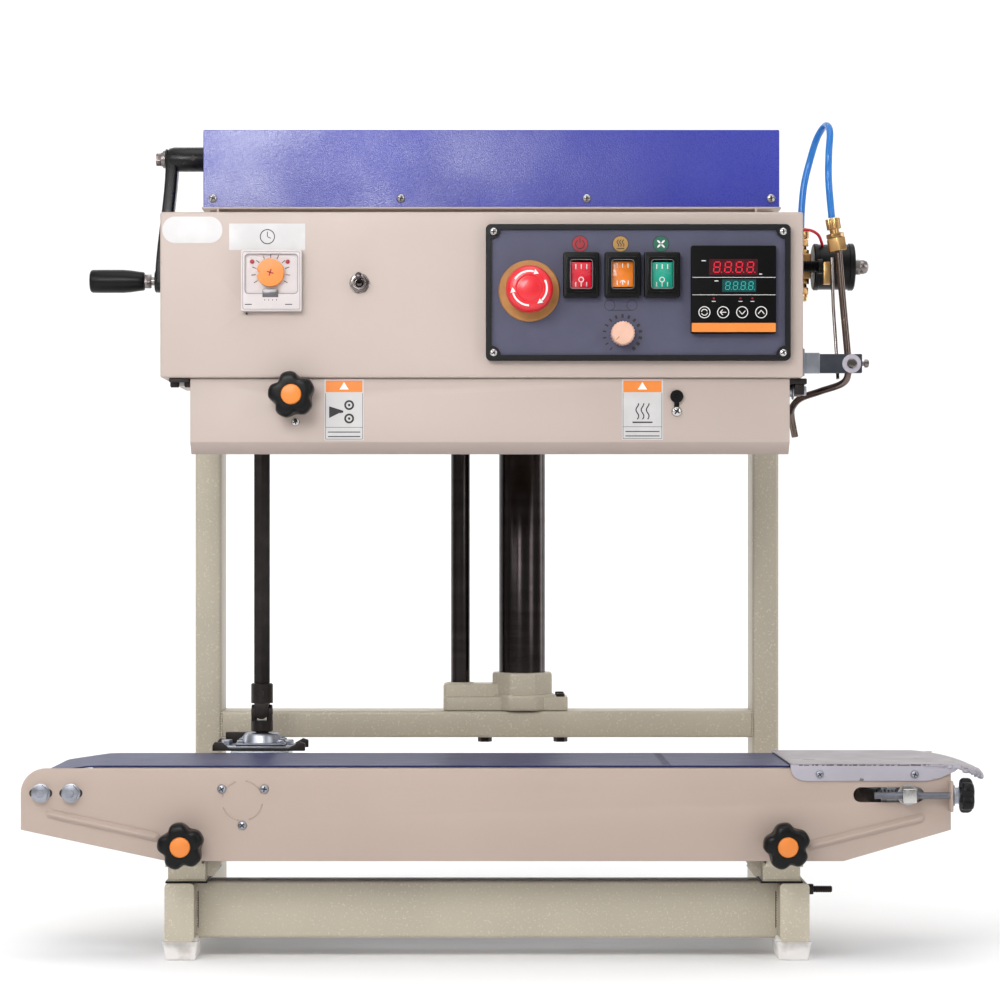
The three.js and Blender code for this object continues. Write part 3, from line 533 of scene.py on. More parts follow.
def set_camera():
    camera = bpy.data.objects.new("camera", bpy.data.cameras.new("camera"))
    camera.data.lens = 102
    camera.data.sensor_width = 36
    camera.data.shift_x, camera.data.shift_y = 0.013, 0.05
    camera.location = LAYOUT @ Vector((0, -CAMERA_BACK, CAMERA_HEIGHT))
    camera.rotation_euler = (math.radians(90), 0, 0)
    bpy.context.scene.collection.objects.link(camera)
    bpy.context.scene.camera = camera


def paper_backdrop():
    """A floor that curves up into a wall behind the machine."""
    reach, wall, rise, bend, steps = 9.0, 3.6, 5.0, 1.2, 16
    curve = [(wall + bend * math.sin(a), bend * (1 - math.cos(a)))
             for a in (math.pi / 2 * i / steps for i in range(steps + 1))]
    profile = [(-reach, 0.0), *curve, (wall + bend, rise)]
    floor_mesh = bmesh.new()
    rows = [[floor_mesh.verts.new((x, y, z)) for x in (-7, 7)] for y, z in profile]
    for low, high in zip(rows, rows[1:]):
        floor_mesh.faces.new((low[0], low[1], high[1], high[0]))
    mesh = bpy.data.meshes.new("floor")
    floor_mesh.to_mesh(mesh)
    floor_mesh.free()
    mesh.shade_smooth()
    floor = bpy.data.objects.new("floor", mesh)
    paper = Finish("paper", srgb(240, 240, 240), 0.9, Emission_Color=(1, 1, 1, 1), Emission_Strength=0.06)
    mesh.materials.append(paper.material)
    bpy.context.scene.collection.objects.link(floor)


def light():
    view = bpy.context.scene.view_settings
    view.view_transform = "Standard"
    view.look = "None"
    world = bpy.data.worlds.new("studio")
    world.use_nodes = True
    tree = world.node_tree
    direction = tree.nodes.new("ShaderNodeTexCoord").outputs["Generated"]
    split = tree.nodes.new("ShaderNodeSeparateXYZ")
    tree.links.new(direction, split.inputs["Vector"])
    sky = tree.nodes.new("ShaderNodeValToRGB")       # a dark room with a bright ceiling
    for element, (position, level) in zip(sky.color_ramp.elements, ((0.10, 0.18), (0.75, 0.85))):
        element.position = position
        element.color = (level, level, level, 1)
    tree.links.new(split.outputs["Z"], sky.inputs["Fac"])
    tree.links.new(sky.outputs["Color"], tree.nodes["Background"].inputs["Color"])
    tree.nodes["Background"].inputs["Strength"].default_value = 0.9
    bpy.context.scene.world = world
    for number, (stands_at, size, target, watts) in enumerate(SOFTBOXES):
        softbox = bpy.data.lights.new(f"softbox_{number}", "AREA")
        softbox.shape = "RECTANGLE"
        softbox.size, softbox.size_y = size
        softbox.energy = watts
        standing = bpy.data.objects.new(f"softbox_{number}", softbox)
        standing.location = stands_at
        aim = Vector(target) - Vector(stands_at)
        standing.rotation_euler = aim.to_track_quat("-Z", "Y").to_euler()
        bpy.context.scene.collection.objects.link(standing)


# ---------------------------------------------------------------- the gas hose
HOSE_ROUTE = [(275.3, 84, 634.3), (275.8, 84, 650), (278, 84, 672), (283, 84, 693), (288.5, 76.1, 712.1),
              (293.5, 57, 720), (295, 37.9, 712.1), (293.2, 30, 693), (292.8, 30, 676), (293.6, 30, 660),
              (295.7, 30, 637)]


def gas_hose():
    path = smooth_path(HOSE_ROUTE)
    shape = Shape().sweep(path, 3.0, 20, bore=2.0)
    hose = place(shape, "gas_hose_tube", "hose", "head", ["gas_hose"])


# ---------------------------------------------------------------- stand
FOOT_X, TUBE_W = 263, 25                 # a foot bar's middle, and the width of its tube


def rect_tube(axis, u, v, along, radius=3.2, closed_low=False):
    """Cold-formed tube with round corners, open at its ends or closed at the low one by a welded plate."""
    wall = 2.0
    shape = Shape()
    outer = rounded(u, v, radius)
    inner = rounded((u[0] + wall, u[1] - wall), (v[0] + wall, v[1] - wall), radius - wall)
    part = bmesh.new()
    rings = [[part.verts.new(spot(axis, a, b, h)) for a, b in outline]
             for outline, h in ((outer, along[0]), (outer, along[1]), (inner, along[1]), (inner, along[0]))]
    bridge(part, rings + rings[:1])
    shape.absorb(part)
    if closed_low:
        shape.prism(axis, rounded((u[0] + 0.3, u[1] - 0.3), (v[0] + 0.3, v[1] - 0.3), radius), along[0] - 0.2,
                    along[0] + wall, 0.6)
    return shape


def weld(shape, points, radius):
    """A weld bead: overlapping ripples along a line."""
    step = 2.2
    start, end = Vector(points[0]), Vector(points[1])
    count = max(2, int((end - start).length / step))
    for i in range(count + 1):
        part = bmesh.new()
        swell = 1 + 0.12 * noise.noise(start * 0.1 + Vector((i, 0, 0)))
        bmesh.ops.create_icosphere(part, subdivisions=2, radius=radius * swell)
        part.transform(Matrix.Translation(start.lerp(end, i / count)))
        shape.absorb(part)
    return shape


def stand():
    rear = (275, 325)
    inner = FOOT_X - TUBE_W / 2 - 0.3
    for side, sign in (("left", -1), ("right", 1)):
        u = (sign * FOOT_X - TUBE_W / 2, sign * FOOT_X + TUBE_W / 2)
        bar = rect_tube("y", u, (17, 67), (20, 325), closed_low=True)
        if sign > 0:                              # earthing stud with its nut
            stud = Shape()
            thread = [point for k in range(13) for point in ((2.5, 276 + k * 1.5), (3.05, 276.7 + k * 1.5))]
            stud.turn("x", (32, 61), [(0, 275.2), *thread, (2.2, 296), (0, 296)], 24)
            stud.prism("x", polygon((32, 61), 5), 275.8, 280, 0.5)
            place(stud, "earthing_stud", "oxide", "frame")
        place(bar, f"foot_bar_{side}_tube", "khaki", "frame", [f"foot_bar_{side}"])
        place(rect_tube("z", u, rear, (67.3, 545)), f"upright_{side}_tube", "khaki", "frame",
              [f"upright_{side}"])
        for end, y in (("front", 48.5), ("rear", 296.5)):
            foot_pad(f"foot_pad_{end}_{side}", sign * FOOT_X, y)
        seams = Shape()
        inner_x = sign * (FOOT_X - TUBE_W / 2)
        for x in u:
            weld(seams, [(x, 277, 67), (x, 323, 67)], 1.3)     # round the upright's foot
        weld(seams, [(u[0] + 3, 275, 67), (u[1] - 3, 275, 67)], 1.3)
        for z in (18, 66):
            weld(seams, [(inner_x, 46, z), (inner_x, 69, z)], 1.2)
        weld(seams, [(inner_x, 45, 20), (inner_x, 45, 64)], 1.2)
        weld(seams, [(inner_x, 275, 177), (inner_x, 275, 198)], 1.2)
        place(seams, f"weld_beads_{side}", "khaki", "frame")
    front_beam = rect_tube("x", (45, 70), (17, 67), (-inner, inner))
    place(front_beam, "front_beam_tube", "khaki", "frame", ["front_beam"])
    cross_beam = rect_tube("x", rear, (175, 200), (-inner, inner), radius=2.6)
    place(cross_beam, "cross_beam_tube", "khaki", "frame", ["cross_beam"])


def foot_pad(name, x, y):
    """A moulded rubber shoe, worn and a little out of shape."""
    width, depth, tall = 30, 45, 16.6
    shape = Shape()
    part = bmesh.new()
    bmesh.ops.create_cube(part, size=1)
    bmesh.ops.subdivide_edges(part, edges=part.edges[:], cuts=7, use_grid_fill=True)
    for vert in part.verts:
        height = vert.co.z + 0.5
        taper = 0.86 + 0.14 * height
        lip = 1.0 + 0.05 * max(0.0, height - 0.75) * 4
        wobble = noise.noise(Vector((vert.co.x * 3 + x, vert.co.y * 3 + y, vert.co.z * 3))) * 0.5
        vert.co = Vector((x + vert.co.x * width * taper * lip + wobble,
                          y + vert.co.y * depth * taper * lip + wobble,
                          height * tall + 0.1))
    shape.absorb(part, 1.4, 2, 50)
    shape.box((x - 14.2, x + 14.2), (y - 21, y + 21), (12, 20), 2.0)
    place(shape, f"{name}_shoe", "pad", "frame", [name], 60)


def socket_screw(shape, axis, at, head_r, base, top):
    """A socket cap screw that stands on base and ends at top."""
    step = 1 if top > base else -1
    tall = abs(top - base)
    shape.turn(axis, at, [(0, base), (head_r * 0.96, base), (head_r, base + step * 0.1 * tall),
                          (head_r, top - step * 0.12 * tall), (head_r * 0.9, top), (head_r * 0.52, top),
                          (head_r * 0.48, top - step * 0.5 * tall), (0, top - step * 0.5 * tall)], 32)


def column():
    x, y, rod_x, base = 33.4, 300, -25.3, 200.3
    casting = Shape()
    casting.prism("z", rounded((rod_x - 16, x + 43), (y - 24, y + 24), 5), base, base + 13, 1.6, 3)
    casting.prism("z", rounded((rod_x - 16, x - 8), (y - 17, y + 17), 4), base, base + 25, 2.2, 3)
    octagon = polygon((x, y), 30.5, math.pi / 8, 8)
    casting.prism("z", octagon, base, base + 35.5, 2.2, 3)
    skirt = polygon((x, y), 34, math.pi / 8, 8)
    casting.prism("z", skirt, base, base + 15, 2.6, 3)
    casting.turn("z", (rod_x, y), [(0, base + 20), (14, base + 20), (13, base + 26), (0, base + 26)], 40, 0.8)
    place(casting, "column_casting", "khaki", "frame", ["column_base"])
    bolts = Shape()
    for bolt_y in (y - 17, y + 17):
        socket_screw(bolts, "z", (x + 36, bolt_y), 4.2, base + 12.5, base + 16)
    for bolt_x in (-2, 70):
        bolts.prism("z", polygon((bolt_x, y), 6.8), 169.5, 174.9, 0.5)
    place(bolts, "casting_bolts", "oxide", "frame")
    shaft = Shape().turn("z", (x, y), [(0, 206), (22, 206), (22, 588.5), (21, 590), (18.2, 590), (17.5, 589),
                                       (17.5, 584), (9, 584), (8.6, 583), (8.6, 362), (0, 362)], 96)
    place(shaft, "column_tube", "chrome", "frame", ["column"])
    rod = Shape().turn("z", (rod_x, y), [(0, 206), (9, 206), (9, 588.8), (8, 590), (0, 590)], 64)
    place(rod, "guide_rod_bar", "chrome", "frame", ["guide_rod"])


# ---------------------------------------------------------------- conveyor
KNEE_LEFT, KNEE_RIGHT, PLATE_LEFT, PLATE_RIGHT = -271, 302, -395, 393
SHEET = 2.5                              # thickness
END_ROLLER, DRIVE_ROLLER, TAIL_ROLLER = (-372, 146), (-207, 139.8), (356.4, 144.6)       # X and Z
TAIL_SLOT = (310.4, 370.3, 144.6, 6.35)  # from X, to X, Z, half height


def side_outline():
    return [(PLATE_LEFT, 115), (KNEE_LEFT, 88.4), (KNEE_RIGHT, 88.4), (PLATE_RIGHT, 115), (PLATE_RIGHT, 167),
            *arc(PLATE_LEFT + 21, 146, 21, 90, 180, 10)]


def flat_sheet(outline, holes, y0, y1):
    """A sheet in the X-Z plane with holes and softened edges: closed loops, filled together."""
    edge = 0.35
    curve = bpy.data.curves.new("sheet", "CURVE")
    curve.dimensions = "2D"
    curve.fill_mode = "BOTH"
    curve.extrude = (y1 - y0) / 2 - edge
    curve.bevel_depth = edge
    curve.bevel_resolution = 2
    curve.offset = -edge
    for loop in [outline, *holes]:
        spline = curve.splines.new("POLY")
        spline.points.add(len(loop) - 1)
        for point, (u, v) in zip(spline.points, loop):
            point.co = (u, v, 0, 1)
        spline.use_cyclic_u = True
    drawn = bpy.data.objects.new("sheet", curve)
    mesh = bpy.data.meshes.new_from_object(drawn)
    mesh.transform(Matrix.Translation((0, (y0 + y1) / 2, 0)) @ Matrix.Rotation(math.radians(90), 4, "X"))
    part = bmesh.new()
    part.from_mesh(mesh)
    bmesh.ops.remove_doubles(part, verts=part.verts, dist=0.001)
    bpy.data.objects.remove(drawn)
    bpy.data.curves.remove(curve)
    bpy.data.meshes.remove(mesh)
    return part


def slot_loop(u0, u1, v, r):
    return arc(u1 - r, v, r, -90, 90, 12) + arc(u0 + r, v, r, 90, 270, 12)


def rib(shape, start, end):
    """A pressed rib: a low round-ended ridge on the front of the plate, in three steps."""
    half, rise = 3.6, 2.64
    (x0, z0), (x1, z1) = start, end
    length, turn = math.hypot(x1 - x0, z1 - z0), math.atan2(z1 - z0, x1 - x0)
    lean = Matrix.Translation((x0, 0, z0)) @ Matrix.Rotation(-turn, 4, "Y")
    for shrink, share in ((0.0, 0.45), (1.2, 0.85), (2.3, 1.15)):
        r = half - shrink
        outline = arc(length, 0, r, -90, 90, 10) + arc(0, 0, r, 90, 270, 10)
        shape.prism("y", outline, -rise * share, 1.0, 0.35, 2, lean)


def washer_bolt(shape, x, z, y, washer_r=8.2, flats=6.6, turn=0.3):
    """A hexagon bolt on a washer, facing -Y from the plate at y."""
    washer = [(0, y), (washer_r, y), (washer_r, y - 1.3), (washer_r - 0.5, y - 1.6), (0, y - 1.6)]
    shape.turn("y", (x, z), washer, 40)
    shape.prism("y", polygon((x, z), flats, turn), y - 6.4, y - 1.5, 0.5)
    shape.turn("y", (x, z), [(0, y - 6.9), (3.0, y - 6.9), (3.4, y - 6.2), (0, y - 6.2)], 24)


def pan_screw(shape, x, z, y, r):
    """A domed pan-head screw, facing -Y from the plate at y."""
    profile = [(r * math.cos(a), y - 0.3 - 0.62 * r * math.sin(a)) for a in
               (math.pi / 2 * i / 7 for i in range(8))]
    profile[-1] = (0, profile[-1][1])
    shape.turn("y", (x, z), [(0, y)] + [(r, y)] + profile, 32)


def recess_shade_cross(shape, x, z, y, r, turn):
    """Painted shade: a flat dark cross on a screw's head that stands for the shadow in its cross recess."""
    reach, half = r * 0.62, r * 0.13
    for extra in (0, math.pi / 2):
        spin = Matrix.Rotation(turn + extra, 4, "Y")
        shape.box((x - reach, x + reach), (y - 0.3, y + 0.3), (z - half, z + half), 0.08, 1, spin)


def screws(name, body, places, finish="zinc"):
    """Pan screws at (x, z, y, radius), each with a painted dark cross for the shade in its recess."""
    heads, cross_shades = Shape(), Shape()
    for x, z, y, r in places:
        turn = rng.uniform(0, 1.5)
        pan_screw(heads, x, z, y, r)
        recess_shade_cross(cross_shades, x, z, y - 0.3 - 0.6 * r, r, turn)
    place(heads, name, finish, body)
    place(cross_shades, f"{name}_recess_shade", "ink_and_shade_dark", body)


def conveyor_frame():
    front = Shape()
    outline = side_outline()
    front.absorb(flat_sheet(outline, [slot_loop(*TAIL_SLOT)], 0, SHEET))
    rib(front, (-370, 128.5), (-281, 109))
    rib(front, (275, 102), (367, 125))
    front.prism("x", rounded((-14, 2), (131, 157), 3), PLATE_RIGHT - 2.2, PLATE_RIGHT, 0.5)
    for a0 in (20, 110, 200, 290):                # an embossed ring in four parts round a bearing
        front.sweep([(x, -0.1, z) for x, z in arc(-207.3, 139.8, 17, a0, a0 + 60, 10)], 0.5, 8)
    place(front, "conveyor_front_sheet", "conveyor", "frame", ["conveyor_plate_front"])

    bed = Shape()
    # The rear plate is a little lower towards its left end.
    rear_outline = [(x, min(z, 167 - 0.42 * max(0.0, -340 - x))) if z > 140 else (x, z) for x, z in outline]
    holes = [slot_loop(*TAIL_SLOT), circle(*DRIVE_ROLLER, 9)]
    bed.absorb(flat_sheet(rear_outline, holes, 160, CONVEYOR_REAR))
    bed.box((-335, 330), (6, 161.5), (165.2, 167.2), 0.4)
    for x in (-310, -120, 80, 290):
        bed.box((x - 9, x + 9), (4, 160.5), (150, 152), 0.4)
        for y in (4, 158.5):
            bed.box((x - 9, x + 9), (y, y + 2), (150, 166), 0.4)
    place(bed, "conveyor_bed_sheet", "conveyor", "frame", ["conveyor_bed"])

    bolts = Shape()
    # Painted shade: a flat dark patch behind each bolt stands for the shadow in its slot; no slot is cut.
    slot_shades = Shape()
    for x in (-378, -352.5):
        washer_bolt(bolts, x, 146, 0, 8.0, 7.6, turn=rng.uniform(0, 1))
        slot_shades.prism("y", rounded((x - 9.8, x + 9.8), (142.4, 149.6), 3.4), -0.12, 0.05, 0)
    place(slot_shades, "end_roller_slots", "ink_and_shade_dark", "frame")
    rear_bolts = [(-378, 146), (-352.5, 146), (-224.7, 149.5), (300, 150)]
    for x, z in rear_bolts:
        bolts.cylinder("y", (x, z), 7.5, 162.5, 164, 32)
        bolts.prism("y", polygon((x, z), 6), 164, 168.5, 0.5)
    place(bolts, "end_roller_bolts", "zinc", "frame")
    plate_screws = ((-224.7, 149.5), (-188.6, 149.5), (-207.3, 118.8))
    screws("conveyor_screws", "frame", [(x, z, 0, 3.9) for x, z in plate_screws])


def belt_loop(offset):
    """Outline round the end, drive and tail rollers and over the bed, at an offset from the belt's inside."""
    steps = 24                                    # to half a turn
    wraps = ((END_ROLLER, 16.3, 99, 265.8), (DRIVE_ROLLER, 22.3, 265.8, 270.4),
             (TAIL_ROLLER, 22.9, 270.4, 450))
    loop = []
    for (x, z), r, start, end in wraps:
        loop += arc(x, z, r + offset, start, end, max(1, int(steps * (end - start) / 180)))
    return loop + [(-330, 167.5 + offset), (-340, 167.2 + offset), (-348, 166.1 + offset)]


def conveyor_belt():
    outer, inner = belt_loop(1.5), belt_loop(0)
    part = bmesh.new()
    rings = [[part.verts.new((u, y, v)) for u, v in loop]
             for loop, y in ((outer, 6.4), (outer, 155.6), (inner, 155.6), (inner, 6.4))]
    edges = [[part.verts.new((u, y, v)) for u, v in belt_loop(0.75)] for y in (156, 6)]
    order = [rings[0], rings[1], edges[0], rings[2], rings[3], edges[1]]
    bridge(part, order + order[:1])
    shape = Shape().absorb(part)
    place(shape, "belt_loop", "belt", "frame", ["conveyor_belt"], 50)
    splice = Shape()
    pitch, half = 12.2, 6.1
    for k in range(12):
        y = 8 + k * pitch
        chevron = [(150, y), (157, y + half), (150, y + pitch), (149.2, y + pitch), (156.2, y + half),
                   (149.2, y)]
        splice.prism("z", chevron, 168.95, 169.12, 0)
    place(splice, "belt_splice", "ink_and_shade_dark", "frame")


def roller(node, at, r, ends=(2.8, 159.7), bore=0.0):
    """A roller with recessed ends: on journals up to its ends, or with a bore through it."""
    y0, y1, journal, lead = 7, 155, 5.0, 2.0
    shape = Shape()
    profile = [(journal, ends[0]), (journal, y0), (r - 5, y0), (r - 5, y0 + 3), (r - 1.2, y0 + 3),
               (r - 1.2, y0), (r - 0.3, y0), (r, y0 + lead), (r, y1 - lead), (r - 0.3, y1), (r - 1.2, y1),
               (r - 1.2, y1 - 3), (r - 5, y1 - 3), (r - 5, y1), (journal, y1), (journal, ends[1])]
    if bore:
        profile = profile[1:-1]
        profile[0], profile[-1] = (bore, y0), (bore, y1)
        profile.append(profile[0])
    else:
        profile = [(0, ends[0])] + profile + [(0, ends[1])]
    shape.turn("y", at, profile, 72)
    place(shape, f"{node}_drum", "aluminium", node, [node])


def rollers():
    roller("end_roller", END_ROLLER, 16)
    roller("drive_roller", DRIVE_ROLLER, 22, ends=(2.8, 174.5))
    roller("tail_roller", TAIL_ROLLER, 22.6, bore=5.3)


def star_knob(radius, height, lean, cap_r):
    """A five-lobed moulded knob with a domed skirt and a round pit for its cap."""
    part = bmesh.new()
    sides, lobes = 120, 5
    angles = [2 * math.pi * i / sides for i in range(sides)]
    levels = [(0.0, 0.90, 0.55), (0.10, 0.97, 0.7), (0.25, 1.0, 1.0), (0.62, 1.0, 1.0), (0.80, 0.97, 1.0),
              (0.93, 0.90, 0.95), (1.0, 0.80, 0.8)]
    rings = []
    for t, k, depth in levels:
        ring = []
        for a in angles:
            lobe = 0.5 + 0.5 * math.cos(lobes * a)
            r = radius * k * (1 - 0.21 * depth * (1 - lobe) ** 2.2)
            ring.append(part.verts.new((r * math.sin(a), r * math.cos(a), t * height)))
        rings.append(ring)
    rings.append([part.verts.new((v.co.x * 0.82, v.co.y * 0.82, height * 1.02)) for v in rings[-1]])
    for level in (1.02, 0.92):                    # the pit for the cap
        rings.append([part.verts.new((cap_r * math.sin(a), cap_r * math.cos(a), height * level))
                      for a in angles])
    bridge(part, rings)
    part.faces.new(rings[-1])
    part.faces.new(rings[0])
    part.transform(lean)
    return Shape().absorb(part)


def knob_cap(radius, height, lean):
    """The domed disc that snaps into a star knob's pit."""
    profile = [(0, height * 0.92), (radius - 0.4, height * 0.92), (radius - 0.4, height * 1.0),
               (radius - 1.2, height * 1.06), (radius * 0.6, height * 1.1), (0, height * 1.12)]
    return Shape().turn("z", (0, 0), profile, 48, lean=lean)


FACE_FRONT = Matrix.Rotation(math.radians(90), 4, "X")     # turns +Z to -Y
FACE_RIGHT = Matrix.Rotation(math.radians(90), 4, "Y")     # turns +Z to +X


def front_knob(name, node, x, z, back, screw_to, hub=8.0):
    """A star knob that faces the operator, with its boss and screw."""
    radius, height, cap_r = 20, 18, 9.0
    lean = Matrix.Translation((x, back, z)) @ FACE_FRONT @ Matrix.Rotation(0.18, 4, "Z")
    body = star_knob(radius, height, lean, cap_r)
    cap = knob_cap(cap_r, height, lean)
    boss = [(0, back + 1), (hub, back + 1), (hub + 0.8, back + 4), (hub, -1.5), (0, -1.5)]
    body.turn("y", (x, z), boss, 40)
    place(body, name, "black", node, [node])
    place(cap, f"{name}_cap", "orange", node)
    screw = Shape().cylinder("y", (x, z), 3.8, -2, screw_to, 24, 0.3)
    place(screw, f"{name}_screw", "zinc", node)


def brackets_and_clamps():
    for side, x, inward in (("left", -257, 1), ("right", 252, -1)):
        shape = Shape().copy_of(f"conveyor_bracket_{side}", 1.0)
        shape.box((x - 16.5, x + 16.5), (23, 152), (68.5, 70), 0.5)
        place(shape, f"bracket_{side}", "khaki", "frame", [f"conveyor_bracket_{side}"])
        # Painted shadow: a thin black strip where the bracket sits on the foot bar stands for the shade
        # between them.
        shadow_strip = Shape().box((x - 18, x + 18), (21, 154), (67.1, 68.7), 0.4)
        place(shadow_strip, f"bracket_shadow_strip_{side}", "black", "frame")
        nuts = Shape()
        for y in (34, 140):
            nuts.prism("z", polygon((x - 11 * inward, y), 5), 85.8, 90, 0.4)
        place(nuts, f"bracket_nuts_{side}", "zinc", "frame")
        front_knob(f"clamp_star_{side}", f"clamp_knob_{side}", x, 103, -12, 5.2)


def tensioner():
    x, z = TAIL_ROLLER
    y = -7
    axle = Shape()
    axle.turn("y", (x, z), [(0, -1), (5, -1), (5, 170), (4.2, 170.5), (0, 170.5)], 40)
    axle.box((x - 6, x + 6), (-14, -0.6), (z - 6, z + 6), 1.0, 3)
    axle.cylinder("y", (x, z), 9, -0.9, -0.3, 32)
    place(axle, "tail_axle_bar", "steel", "tail_axle", ["tail_axle"])
    rod_end, rod_start = PLATE_RIGHT + 7, 327
    thread = Shape()
    pitch, r = 1.0, 3.0
    turns = int((rod_end - rod_start) / pitch)
    profile = [(0, rod_start)]
    for k in range(turns):
        h = rod_start + k * pitch
        profile += [(r - 0.45, h), (r, h + pitch / 2)]
    thread.turn("x", (y, z), profile + [(r - 0.4, rod_end), (0, rod_end)], 24)
    for h, radius, thick in ((393.4, 9, 1.2), (394.8, 7.5, 3.8)):
        outline = polygon((y, z), radius) if thick > 2 else circle(y, z, radius)
        thread.prism("x", outline, h, h + thick, 0.3)
    place(thread, "tension_thread", "zinc", "tension_screw")
    lean = Matrix.Translation((PLATE_RIGHT + 7, y, z)) @ FACE_RIGHT
    body = star_knob(15, 10, lean, 5.0)
    body.turn("x", (y, z), [(0, 398.5), (6.5, 398.5), (7.5, 401), (0, 401)], 32)
    place(body, "tension_star", "black", "tension_screw", ["tension_screw"])
    spring = Shape()
    steps, coil_r, turn_by = 60, 3.6, 0.63
    coil = [(331 + 18 * t / steps, 8.5 + coil_r * math.cos(t * turn_by), z + coil_r * math.sin(t * turn_by))
            for t in range(steps + 1)]
    spring.sweep(coil, 0.55, 8)
    place(spring, "take_up_spring", "steel", "tail_axle")


def infeed_cover():
    z, front, rear = 169.5, -1.8, 164.3
    start, fold, tip = 257.5, 383, 423            # the sheet is flat up to its fold, then droops to its tip

    def nose_and_bend(x):
        """How far the round nose draws the sides in at x, and how far x is along the droop, 0 to 1."""
        nose = max(0.0, (x - tip + 26) / 26)
        return 26 * (1 - math.sqrt(max(0.0, 1 - nose * nose * 0.98))), max(0.0, (x - fold) / (tip - fold))

    top = Shape()
    part = bmesh.new()
    across = 28
    stations = [start + (fold - start) * k / 10 for k in range(10)]
    stations += [fold + (tip - fold) * k / 22 for k in range(23)]
    sheets = ([], [])                             # the upper and the lower face
    for x in stations:
        inset, bend = nose_and_bend(x)
        for sheet, face in zip(sheets, (0, 1)):
            row = []
            for k in range(across + 1):
                t = k / across
                y = front + inset + t * (rear - front - 2 * inset)
                crumple = noise.noise(Vector((x * 0.16, y * 0.16, face))) * 1.4 * bend
                droop = 6.5 * bend ** 2.2 + 2.5 * bend * abs(2 * t - 1) ** 8
                thick = 1.5 + 2.6 * bend * (0.6 + noise.noise(Vector((x * 0.4, y * 0.4, 5))))
                row.append(part.verts.new((x, y, z + 1.5 - droop + min(0.0, crumple) - face * thick)))
            sheet.append(row)
    for sheet in sheets:
        for low, high in zip(sheet, sheet[1:]):
            for k in range(across):
                part.faces.new((low[k], low[k + 1], high[k + 1], high[k]))
    upper, lower = sheets
    borders = [(upper[end], lower[end]) for end in (0, -1)]
    borders += [([row[end] for row in upper], [row[end] for row in lower]) for end in (0, -1)]
    for row_a, row_b in borders:
        for k in range(len(row_a) - 1):
            part.faces.new((row_a[k], row_a[k + 1], row_b[k + 1], row_b[k]))
    top.absorb(part, 0.35, 1, 50)
    side = [*arc(269, z - 1, 12, 180, 270, 8), (372, z - 13), (384, z - 10.5), (396, z - 5), (403, z + 0.4),
            (257, z + 0.6)]
    flanges = Shape()
    for y0, y1 in ((front, -0.3), (rear - 1.5, rear)):
        flanges.prism("y", side, y0, y1, 0.4)
    rim, wear = Shape(), Shape()
    for k in range(70):
        x = 368 + (tip - 370) * (k / 69) ** 0.8
        inset, bend = nose_and_bend(x)
        y = front + inset
        size = rng.uniform(0.7, 2.1) * (0.6 + bend)
        low = z - 6.5 * bend ** 2.2 - 3.5 * bend - rng.uniform(0, 2.5) * (0.4 + bend)
        spin = Matrix.Rotation(rng.uniform(0, 3), 4, rng.choice("XYZ"))
        rim.box((x - size, x + size), (y - 0.9, y + size), (low, low + size * 1.2), 0.25, 1, spin)
    for k in range(30):
        x = 262 + 118 * (k + rng.uniform(0, 0.8)) / 30
        length, height = rng.uniform(1.5, 4.5), rng.uniform(0.5, 1.0)
        wear.box((x, x + length), (front - 0.15, front + 0.3), (z, z + height), 0)
    place(rim, "infeed_ragged_edge", "pale_grey", "frame")
    place(flanges, "infeed_flanges", "pale_grey", "frame")
    place(wear, "infeed_fold_wear", "ink_and_shade_dark", "frame")
    place(top, "infeed_sheet", "grey", "frame", ["infeed_cover"])
    screws("infeed_screws", "frame", [(281.6, 162, -1.8, 3.4), (362, 162, -1.8, 3.4)])


